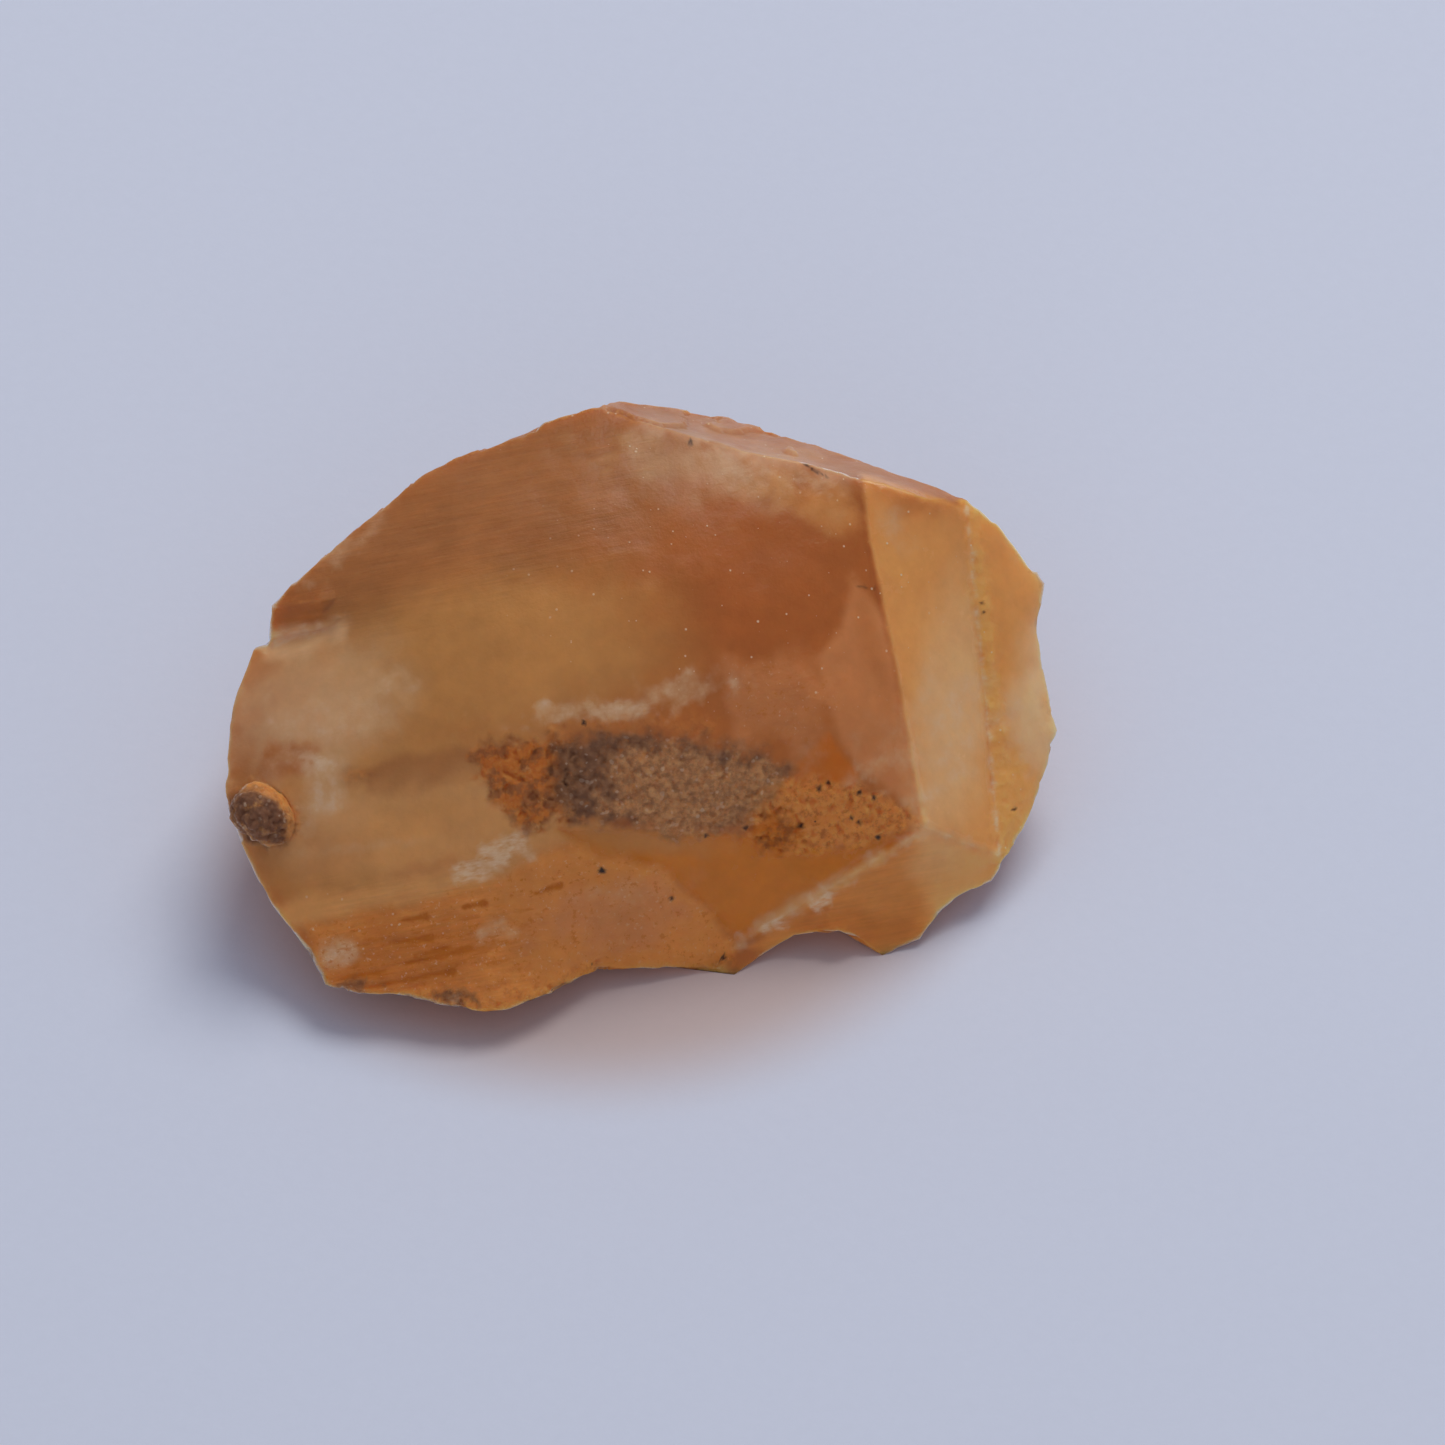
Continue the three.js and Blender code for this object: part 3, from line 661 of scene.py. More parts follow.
@dataclass
class Skin:
    """The chunk's own surface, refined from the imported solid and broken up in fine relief.

    Attributes:
        crease_angle: Edges of the solid that bend more than this stay crisp, in degrees.
        soft_angle: Edges that bend less than this are smooth.
        corner_turn: A crisp edge that turns more than this keeps its corner, in degrees.
        levels: Subdivision levels over the whole skin.
        fine_rounds: Further rounds over the gritty zones.
        edge_reach: How far wear reaches from a crisp edge.
        resting_band: How far up from the table the relief fades in.
        fine_cover: The cover of a gritty zone from which it gets finer faces.
        fine_zones: The gritty zones.
    """

    crease_angle: float = 21.0
    soft_angle: float = 11.0
    corner_turn: float = 35.0
    levels: int = 2
    fine_rounds: int = 1
    edge_reach: float = 0.6
    resting_band: float = 0.6
    fine_cover: float = 0.02
    fine_zones: tuple[str, ...] = ("crust", "rust", "loam", "sugar", "ridge", "bloom", "stroke", "speck")

    def build(self, node: bpy.types.Object, name: str) -> bpy.types.Object:
        """Makes the refined and painted skin.

        Args:
            node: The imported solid.
            name: The new piece's name.

        Returns:
            The new mesh object, still without a finish.
        """
        piece = bpy.data.objects.new(name, self._marked_copy(node, name))
        bpy.context.scene.collection.objects.link(piece)
        self._subdivide(piece)
        for _ in range(self.fine_rounds):
            self._refine_gritty_zones(piece.data)
        points = self._points(piece.data)
        zones = self._zones(points)
        zones["edge"] = self._edge_cover(piece.data, points)
        self._carve(piece.data, points, zones)
        self._paint(piece.data, points, zones)
        for polygon in piece.data.polygons:
            polygon.use_smooth = True
        piece.data.set_sharp_from_angle(angle=MOST_BEND)
        return piece

    def _marked_copy(self, node: bpy.types.Object, name: str) -> bpy.types.Mesh:
        """Copies the solid's mesh, welds it and marks what stays crisp."""
        bm = bmesh.new()
        bm.from_mesh(node.data)
        bmesh.ops.remove_doubles(bm, verts=bm.verts, dist=WELD_M)
        bm.normal_update()
        crease = bm.edges.layers.float.new("crease_edge")
        corner = bm.verts.layers.float.new("crease_vert")
        for edge in bm.edges:
            bend = math.degrees(edge.calc_face_angle(0.0))
            share = (bend - self.soft_angle) / (self.crease_angle - self.soft_angle)
            edge[crease] = min(max(share, 0.0), 1.0)
        for vert in bm.verts:
            crisp = [e.other_vert(vert).co - vert.co for e in vert.link_edges if e[crease] > 0.5]
            turn = math.pi - crisp[0].angle(crisp[1]) if len(crisp) == 2 else 0.0
            vert[corner] = float(len(crisp) > 2 or turn > math.radians(self.corner_turn))
        mesh = bpy.data.meshes.new(name)
        bm.to_mesh(mesh)
        bm.free()
        return mesh

    def _subdivide(self, piece: bpy.types.Object) -> None:
        """Subdivides the whole skin and keeps the result as its mesh."""
        modifier = piece.modifiers.new("Refine", "SUBSURF")
        modifier.levels = self.levels
        modifier.render_levels = self.levels
        graph = bpy.context.evaluated_depsgraph_get()
        coarse = piece.data
        fine = bpy.data.meshes.new_from_object(piece.evaluated_get(graph))
        piece.modifiers.clear()
        piece.data = fine
        bpy.data.meshes.remove(coarse)
        fine.name = piece.name

    def _refine_gritty_zones(self, mesh: bpy.types.Mesh) -> None:
        """Subdivides the faces once more where grit, cracks and specks need it."""
        points = self._points(mesh)
        patches = zone_patches()
        wanted = np.zeros(len(points.places))
        for zone in self.fine_zones:
            for patch in patches[zone]:
                wanted = np.maximum(wanted, patch.cover(points))
        bm = bmesh.new()
        bm.from_mesh(mesh)
        bm.verts.ensure_lookup_table()
        faces = [f for f in bm.faces if any(wanted[v.index] > self.fine_cover for v in f.verts)]
        edges = list({e for f in faces for e in f.edges})
        bmesh.ops.subdivide_edges(bm, edges=edges, cuts=1, use_grid_fill=True)
        bm.to_mesh(mesh)
        bm.free()

    def _points(self, mesh: bpy.types.Mesh) -> SkinPoints:
        """Reads the mesh's points and directions."""
        count = len(mesh.vertices)
        places = np.zeros(count * 3)
        normals = np.zeros(count * 3)
        mesh.vertices.foreach_get("co", places)
        mesh.vertices.foreach_get("normal", normals)
        return SkinPoints(places.reshape(-1, 3) / MM, normals.reshape(-1, 3))

    def _zones(self, points: SkinPoints) -> dict[str, np.ndarray]:
        """Works out each zone's cover at each point."""
        zones = {}
        for name, patches in zone_patches().items():
            cover = np.zeros(len(points.places))
            for patch in patches:
                cover = np.maximum(cover, patch.cover(points))
            zones[name] = cover
        earth = np.maximum(np.maximum(zones["crust"], zones["rust"]), zones["loam"])
        zones["streak"] *= 1.0 - earth
        zones["polish"] *= 1.0 - earth
        return zones

    def _edge_cover(self, mesh: bpy.types.Mesh, points: SkinPoints) -> np.ndarray:
        """How near each point is to a crisp edge, from 0 to 1."""
        bm = bmesh.new()
        bm.from_mesh(mesh)
        limit = math.radians(self.crease_angle)
        crisp = {v.index for e in bm.edges if e.calc_face_angle(0.0) > limit for v in e.verts}
        bm.free()
        tree = kdtree.KDTree(len(crisp))
        for index in sorted(crisp):
            tree.insert(points.places[index], index)
        tree.balance()
        distances = np.array([tree.find(p)[2] for p in points.places])
        return np.exp(-((distances / self.edge_reach) ** 2))

    def _carve(self, mesh: bpy.types.Mesh, points: SkinPoints, zones: dict[str, np.ndarray]) -> None:
        """Moves the points in and out by the stone's relief."""
        height = Relief().height(points, zones)
        raised = points.places[:, 2] - points.places[:, 2].min()
        height *= rise(0.0, self.resting_band, raised)
        moved = points.places + points.normals * height[:, None]
        moved[:, 2] = np.maximum(moved[:, 2], 0.0)
        mesh.vertices.foreach_set("co", (moved * MM).ravel())
        mesh.update()

    def _paint(self, mesh: bpy.types.Mesh, points: SkinPoints, zones: dict[str, np.ndarray]) -> None:
        """Writes the body colour and the zones on the mesh as attributes."""
        colour = np.tile(np.array(PALETTE.honey), (len(points.places), 1))
        for tone in body_tones():
            cover = tone.patch.cover(points)[:, None]
            colour = colour * (1.0 - cover) + np.array(tone.colour) * cover
        tint = mesh.attributes.new("tint", "FLOAT_COLOR", "POINT")
        tint.data.foreach_set("color", np.hstack((colour, np.ones((len(colour), 1)))).ravel())
        for name, cover in zones.items():
            mask = mesh.attributes.new(name, "FLOAT", "POINT")
            mask.data.foreach_set("value", cover.astype(np.float32))


@dataclass(frozen=True)
class Lumps:
    """A random relief.

    Attributes:
        tall: Its height, where the field is 1.
        size: The size of its lumps.
        octaves: How many finer layers it has.
        seed: Picks the field.
    """

    tall: float
    size: float
    octaves: int = 3
    seed: float = 0.0

    def field(self, points: SkinPoints) -> np.ndarray:
        """The plain field at each point, about -1 to 1."""
        return points.wander(self.size, self.octaves, self.seed)

    def height(self, points: SkinPoints) -> np.ndarray:
        """The field as a height."""
        return self.tall * self.field(points)


@dataclass(frozen=True)
class Relief:
    """The fine relief of the broken stone, each part as its height or its lumps."""

    swell: Lumps = Lumps(0.2, 6.5)
    ripple: Lumps = Lumps(0.06, 2.1)
    furrow: float = 0.022
    furrow_gap: float = 1.15
    furrow_turn: float = 11.0
    hackle: Lumps = Lumps(0.11, 1.3, 2, 5.0)
    terrace: float = 0.3
    grit: Lumps = Lumps(0.22, 0.62, 2, 1.0)
    sugar: Lumps = Lumps(0.12, 0.75, 2, 2.0)
    pit: Lumps = Lumps(0.25, 0.9, 2, 3.0)
    chip: Lumps = Lumps(0.38, 2.4, 3, 4.0)
    stroke: float = 0.07
    ridge: float = 0.28
    window: float = 0.3
    polish_calm: float = 0.75  # how much of the swell a polished cleavage loses
    earth_share: float = 0.7  # how much of the crust's grit rust and loam have
    grit_base: float = 0.3  # how far the crust stands out at the middle of its grit
    sugar_base: float = 0.2  # the same for the sugary seam
    pit_edge: tuple[float, float] = (0.2, 0.55)  # the field where a pit starts and is deepest
    chip_floor: float = 0.1  # the field above which an edge is chipped

    def height(self, points: SkinPoints, zones: dict[str, np.ndarray]) -> np.ndarray:
        """Adds up the relief.

        Args:
            points: The skin's points.
            zones: The cover of each zone.

        Returns:
            How far each point moves outward.
        """
        plain = 1.0 - self.polish_calm * zones["polish"]
        earth = np.maximum(zones["rust"], zones["loam"])
        gritty = np.maximum(zones["crust"], self.earth_share * earth)
        total = (self.swell.height(points) + self.ripple.height(points)) * plain
        total += self.furrow * zones["streak"] * self._furrows(points)
        total += self.terrace * self._terraces(points) * plain
        total += self.hackle.height(points) * zones["hackly"]
        total += self.grit.tall * gritty * (self.grit_base + self.grit.field(points))
        total += self.sugar.tall * zones["sugar"] * (self.sugar_base + self.sugar.field(points))
        total -= self.pit.tall * earth * rise(*self.pit_edge, self.pit.field(points))
        chipped = np.maximum(self.chip.field(points) - self.chip_floor, 0.0)
        total -= self.chip.tall * zones["edge"] * chipped
        total -= self.stroke * zones["stroke"]
        total += self.ridge * zones["ridge"]
        total -= self.window * zones["window"]
        return total

    def _furrows(self, points: SkinPoints) -> np.ndarray:
        """Long fine grooves that rise a little to the right over the front."""
        turn = math.radians(self.furrow_turn)
        spots = Side.FRONT.chart(points.places)
        across = spots[:, 1] * math.cos(turn) - spots[:, 0] * math.sin(turn)
        return np.sin(2 * math.pi * across / self.furrow_gap + 2.2 * points.wander(5.0))

    def _terraces(self, points: SkinPoints) -> np.ndarray:
        """Low cleavage steps over the back, the left and the lobe's left end."""
        gap = 3.4
        lean = points.places @ np.array((0.30, 0.45, 0.84))
        step = (lean / gap + 0.5 * points.wander(7.0)) % 1.0
        hidden = np.maximum(points.facing(Side.BACK, 0.1, 0.5), points.facing(Side.UNDER, 0.1, 0.5))
        return (step - 0.5) * hidden


# ---- Finishes.


class Sketch:
    """A node tree with short ways to add and join nodes."""

    def __init__(self, tree: bpy.types.NodeTree) -> None:
        """Starts on a tree, which keeps what it holds."""
        self.tree = tree

    def node(self, kind: str, **settings: object) -> bpy.types.Node:
        """Adds a node and sets its own properties.

        Args:
            kind: The node's Blender type.
            **settings: Its properties by name.

        Returns:
            The new node.
        """
        made = self.tree.nodes.new(kind)
        for name, value in settings.items():
            setattr(made, name, value)
        return made

    def feed(self, socket: Socket, value: object) -> None:
        """Links a socket to another, or sets its own value.

        Args:
            socket: The input socket.
            value: An output socket, a number or a colour.
        """
        if isinstance(value, Socket):
            self.tree.links.new(value, socket)
        elif isinstance(value, tuple) and len(value) == 3 and socket.type == "RGBA":
            socket.default_value = (*value, 1.0)
        else:
            socket.default_value = value

    def maths(
        self, operation: str, a: Value, b: Value = 0.0, c: Value = 0.0, clamp: bool = False
    ) -> Socket:
        """Adds one sum of two or three values.

        Args:
            operation: The sum's Blender name.
            a: The first value.
            b: The second value.
            c: The third value, where the sum has one.
            clamp: Whether the result stays from 0 to 1.

        Returns:
            The result.
        """
        made = self.node("ShaderNodeMath", operation=operation, use_clamp=clamp)
        self.feed(made.inputs[0], a)
        self.feed(made.inputs[1], b)
        self.feed(made.inputs[2], c)
        return made.outputs[0]

    def times(self, first: Value, *others: Value) -> Value:
        """The product of some values."""
        for other in others:
            first = self.maths("MULTIPLY", first, other)
        return first

    def bump(self, height: Value, strength: float, distance: float) -> Socket:
        """Turns heights into a bumpy normal.

        Args:
            height: The heights.
            strength: How much of the bump shows, from 0 to 1.
            distance: How far a height of 1 stands out, in metres.

        Returns:
            The normal.
        """
        made = self.node("ShaderNodeBump")
        self.feed(made.inputs["Strength"], strength)
        self.feed(made.inputs["Distance"], distance)
        self.feed(made.inputs["Height"], height)
        return made.outputs["Normal"]

    def blend(self, factor: Value, a: Tint, b: Tint) -> Socket:
        """Mixes two colours.

        Args:
            factor: How much of the second, from 0 to 1.
            a: The first colour.
            b: The second colour.

        Returns:
            The mixed colour.
        """
        made = self.node("ShaderNodeMix", data_type="RGBA")
        self.feed(made.inputs["Factor"], factor)
        self.feed(made.inputs[6], a)
        self.feed(made.inputs[7], b)
        return made.outputs[2]

    def scaled(self, colour: Tint, value: Value) -> Socket:
        """A colour made lighter or darker by a value."""
        made = self.node("ShaderNodeVectorMath", operation="SCALE")
        self.feed(made.inputs[0], colour)
        self.feed(made.inputs["Scale"], value)
        return made.outputs[0]

    def rise(self, value: Value, low: Value, high: Value) -> Socket:
        """A smooth step of a value from 0 at low to 1 at high."""
        made = self.node("ShaderNodeMapRange", interpolation_type="SMOOTHSTEP")
        self.feed(made.inputs["Value"], value)
        self.feed(made.inputs["From Min"], low)
        self.feed(made.inputs["From Max"], high)
        return made.outputs["Result"]

    def noise(
        self, at: Socket, scale: Value, detail: float = 3.0, rough: float = 0.55
    ) -> Socket:
        """A cloudy value, about 0.5 in the middle.

        Args:
            at: The coordinates.
            scale: Lumps for each unit of the coordinates.
            detail: How many finer layers.
            rough: How strong the finer layers are.

        Returns:
            The value.
        """
        made = self.node("ShaderNodeTexNoise")
        self.feed(made.inputs["Vector"], at)
        self.feed(made.inputs["Scale"], scale)
        self.feed(made.inputs["Detail"], detail)
        self.feed(made.inputs["Roughness"], rough)
        return made.outputs["Fac"]

    def mask(self, name: str) -> Socket:
        """A zone painted on the mesh."""
        return self.node("ShaderNodeAttribute", attribute_name=name).outputs["Fac"]

    def millimetres(self) -> Socket:
        """The place on the object, in millimetres."""
        made = self.node("ShaderNodeVectorMath", operation="SCALE")
        self.feed(made.inputs[0], self.node("ShaderNodeTexCoord").outputs["Object"])
        made.inputs["Scale"].default_value = 1.0 / MM
        return made.outputs[0]

    def use(self, group: bpy.types.NodeTree, **inputs: object) -> bpy.types.Node:
        """Places a node group.

        Args:
            group: The group.
            **inputs: Its values by name, with _ for a space.

        Returns:
            The group's node.
        """
        made = self.node("ShaderNodeGroup", node_tree=group)
        for name, value in inputs.items():
            self.feed(made.inputs[name.replace("_", " ")], value)
        return made


class SocketKind(Enum):
    """The kinds of socket that the shared groups use."""

    VALUE = "NodeSocketFloat"
    COLOUR = "NodeSocketColor"
    VECTOR = "NodeSocketVector"


class SharedEffect:
    """A node group with named inputs and outputs, built once."""

    name = "Effect"
    inputs: tuple[tuple[str, SocketKind], ...] = ()
    outputs: tuple[tuple[str, SocketKind], ...] = ()

    def build(self) -> bpy.types.NodeTree:
        """Makes the group, or gives the one that is there.

        Returns:
            The group.
        """
        found = bpy.data.node_groups.get(self.name)
        if found is not None:
            return found
        tree = bpy.data.node_groups.new(self.name, "ShaderNodeTree")
        for label, kind in self.inputs:
            tree.interface.new_socket(name=label, in_out="INPUT", socket_type=kind.value)
        for label, kind in self.outputs:
            tree.interface.new_socket(name=label, in_out="OUTPUT", socket_type=kind.value)
        sketch = Sketch(tree)
        given = sketch.node("NodeGroupInput").outputs
        made = sketch.node("NodeGroupOutput").inputs
        for label, socket in self.draw(sketch, given).items():
            sketch.feed(made[label], socket)
        return tree

    def draw(self, sketch: Sketch, given: Sockets) -> dict[str, Socket]:
        """Draws the group's nodes.

        Args:
            sketch: The group's tree.
            given: The group's inputs by name.

        Returns:
            The group's outputs by name.
        """
        raise NotImplementedError


class Clouding(SharedEffect):
    """Slow changes of shade inside the stone or the paper."""

    name = "Clouding"
    inputs = (("Place", SocketKind.VECTOR), ("Size", SocketKind.VALUE), ("Depth", SocketKind.VALUE))
    outputs = (("Shade", SocketKind.VALUE), ("Cloud", SocketKind.VALUE))
    gain = 3.2

    def draw(self, sketch: Sketch, given: Sockets) -> dict[str, Socket]:
        """A noise about its middle, as a shade near 1 and as a plain cloud."""
        cloud = sketch.noise(given["Place"], sketch.maths("DIVIDE", 1.0, given["Size"]), 4.0, 0.6)
        centred = sketch.maths("SUBTRACT", cloud, 0.5)
        swing = sketch.times(centred, sketch.times(given["Depth"], self.gain))
        return {"Shade": sketch.maths("ADD", swing, 1.0), "Cloud": cloud}


class GrowthLines(SharedEffect):
    """Fine parallel lines that waver a little."""

    name = "Growth lines"
    inputs = (("Place", SocketKind.VECTOR), ("Gap", SocketKind.VALUE), ("Stretch", SocketKind.VALUE))
    outputs = (("Lines", SocketKind.VALUE),)
    slope = math.radians(11.0)

    def draw(self, sketch: Sketch, given: Sockets) -> dict[str, Socket]:
        """A noise drawn out along the lines."""
        turned = sketch.node("ShaderNodeVectorRotate", rotation_type="EULER_XYZ")
        sketch.feed(turned.inputs["Vector"], given["Place"])
        turned.inputs["Rotation"].default_value = (FRONT_TILT, self.slope, 0.0)
        apart = sketch.node("ShaderNodeSeparateXYZ")
        sketch.feed(apart.inputs[0], turned.outputs[0])
        joined = sketch.node("ShaderNodeCombineXYZ")
        sketch.feed(joined.inputs[0], sketch.maths("DIVIDE", apart.outputs[0], given["Stretch"]))
        sketch.feed(joined.inputs[1], sketch.maths("DIVIDE", apart.outputs[1], given["Stretch"]))
        sketch.feed(joined.inputs[2], apart.outputs[2])
        lines = sketch.noise(joined.outputs[0], sketch.maths("DIVIDE", 1.0, given["Gap"]), 3.0, 0.6)
        return {"Lines": lines}


class Grit(SharedEffect):
    """A granular surface, as on a weathered crust or rough paper."""

    name = "Grit"
    inputs = (("Place", SocketKind.VECTOR), ("Size", SocketKind.VALUE))
    outputs = (("Height", SocketKind.VALUE), ("Tone", SocketKind.VALUE))
    finer = 2.3
    grain_share = 0.6

    def draw(self, sketch: Sketch, given: Sockets) -> dict[str, Socket]:
        """Rounded grains with a finer noise on them."""
        scale = sketch.maths("DIVIDE", 1.0, given["Size"])
        cells = sketch.node("ShaderNodeTexVoronoi", feature="SMOOTH_F1")
        sketch.feed(cells.inputs["Vector"], given["Place"])
        sketch.feed(cells.inputs["Scale"], scale)
        fine = sketch.noise(given["Place"], sketch.times(scale, self.finer), 3.0, 0.65)
        grain = sketch.maths("SUBTRACT", 1.0, cells.outputs["Distance"])
        coarse_part = sketch.times(grain, self.grain_share)
        height = sketch.maths("ADD", coarse_part, sketch.times(fine, 1.0 - self.grain_share))
        tone = sketch.node("ShaderNodeSeparateColor")
        sketch.feed(tone.inputs[0], cells.outputs["Color"])
        return {"Height": height, "Tone": tone.outputs[0]}


class Grains(SharedEffect):
    """Loose grains that lie here and there."""

    name = "Loose grains"
    inputs = (
        ("Place", SocketKind.VECTOR),
        ("Gap", SocketKind.VALUE),
        ("Radius", SocketKind.VALUE),
        ("Share", SocketKind.VALUE),
    )
    outputs = (("Grains", SocketKind.VALUE),)
    least_radius = 0.35
    crisp_share = 0.6

    def draw(self, sketch: Sketch, given: Sockets) -> dict[str, Socket]:
        """A dot in some of the cells, with a size of its own."""
        cells = sketch.node("ShaderNodeTexVoronoi")
        sketch.feed(cells.inputs["Vector"], given["Place"])
        sketch.feed(cells.inputs["Scale"], sketch.maths("DIVIDE", 1.0, given["Gap"]))
        tone = sketch.node("ShaderNodeSeparateColor")
        sketch.feed(tone.inputs[0], cells.outputs["Color"])
        own = sketch.times(given["Radius"], sketch.maths("ADD", tone.outputs[1], self.least_radius))
        border = sketch.rise(cells.outputs["Distance"], sketch.times(own, self.crisp_share), own)
        dot = sketch.maths("SUBTRACT", 1.0, border)
        kept = sketch.maths("LESS_THAN", tone.outputs[0], given["Share"])
        return {"Grains": sketch.times(dot, kept)}


@dataclass(frozen=True)
class Mottle:
    """A cloudy noise cut off to a mask.

    Attributes:
        scale: Lumps for each millimetre.
        detail: How many finer layers.
        rough: How strong the finer layers are.
        low: The noise where the mask starts.
        high: The noise where the mask is full.
    """

    scale: float
    detail: float
    rough: float
    low: float
    high: float

    def draw(self, sketch: Sketch, place: Socket) -> Socket:
        """The mask at each place."""
        return sketch.rise(sketch.noise(place, self.scale, self.detail, self.rough), self.low, self.high)


@dataclass(frozen=True)
class LineSet:
    """Growth lines, with the values where a mask made from them starts and is full."""

    gap: float
    stretch: float
    low: float = 0.0
    high: float = 1.0

    def lines(self, sketch: Sketch, place: Socket) -> Socket:
        """The plain lines."""
        made = sketch.use(GrowthLines().build(), Place=place, Gap=self.gap, Stretch=self.stretch)
        return made.outputs["Lines"]

    def draw(self, sketch: Sketch, place: Socket) -> Socket:
        """The mask made from the lines."""
        return sketch.rise(self.lines(sketch, place), self.low, self.high)


@dataclass(frozen=True)
class GrainSet:
    """Loose grains of one kind: how far apart, how big, and the share of places that hold one."""

    gap: float
    radius: float
    share: float

    def draw(self, sketch: Sketch, place: Socket) -> Socket:
        """The mask of the grains."""
        group = Grains().build()
        made = sketch.use(group, Place=place, Gap=self.gap, Radius=self.radius, Share=self.share)
        return made.outputs["Grains"]


@dataclass(frozen=True)
class Covers:
    """How much of what lies under it each of the stone's thin layers hides, from 0 to 1."""

    veil: float = 0.7
    cream: float = 0.5
    bloom: float = 0.8
    dash: float = 0.5
    stripes: float = 0.95
    fleck: float = 0.6
    glint: float = 0.3
    # worn edges, partly wear and partly a painted glow of light through thin edges
    worn_glow: float = 0.15
    loam: float = 0.8
    rust: float = 0.85
    pale_grit: float = 0.25
    dust_and_sparkle: float = 0.75
    sparks: float = 0.6
    dark_grains: float = 0.8


@dataclass(frozen=True)
class Heights:
    """How high each part of the finest relief stands, in millimetres."""

    hackle: float = 0.05
    growth: float = 0.07
    earth: float = 0.16
    sugar: float = 0.08
    steps: float = 0.24
    dust_and_sparkle: float = 0.05


@dataclass
class Layers:
    """The stone's colour as it builds up layer by layer, with the inputs that the layers share.

    Attributes:
        sketch: The material's tree.
        place: The place on the stone, in millimetres.
        lines: The fine growth lines.
        grit: The crust's grit.
        sand: The loose grains.
        colour: The colour so far.
    """

    sketch: Sketch
    place: Socket
    lines: Socket
    grit: bpy.types.Node
    sand: Socket
    colour: Socket

    def zone(self, name: str, *shares: Value) -> Socket:
        """A zone's mask, times any shares."""
        return self.sketch.times(self.sketch.mask(name), *shares)

    def lay(self, tint: Tint, cover: Value, *shares: Value) -> None:
        """Lays a tint over the colour where its cover, times any shares, is."""
        self.colour = self.sketch.blend(self.sketch.times(cover, *shares), self.colour, tint)


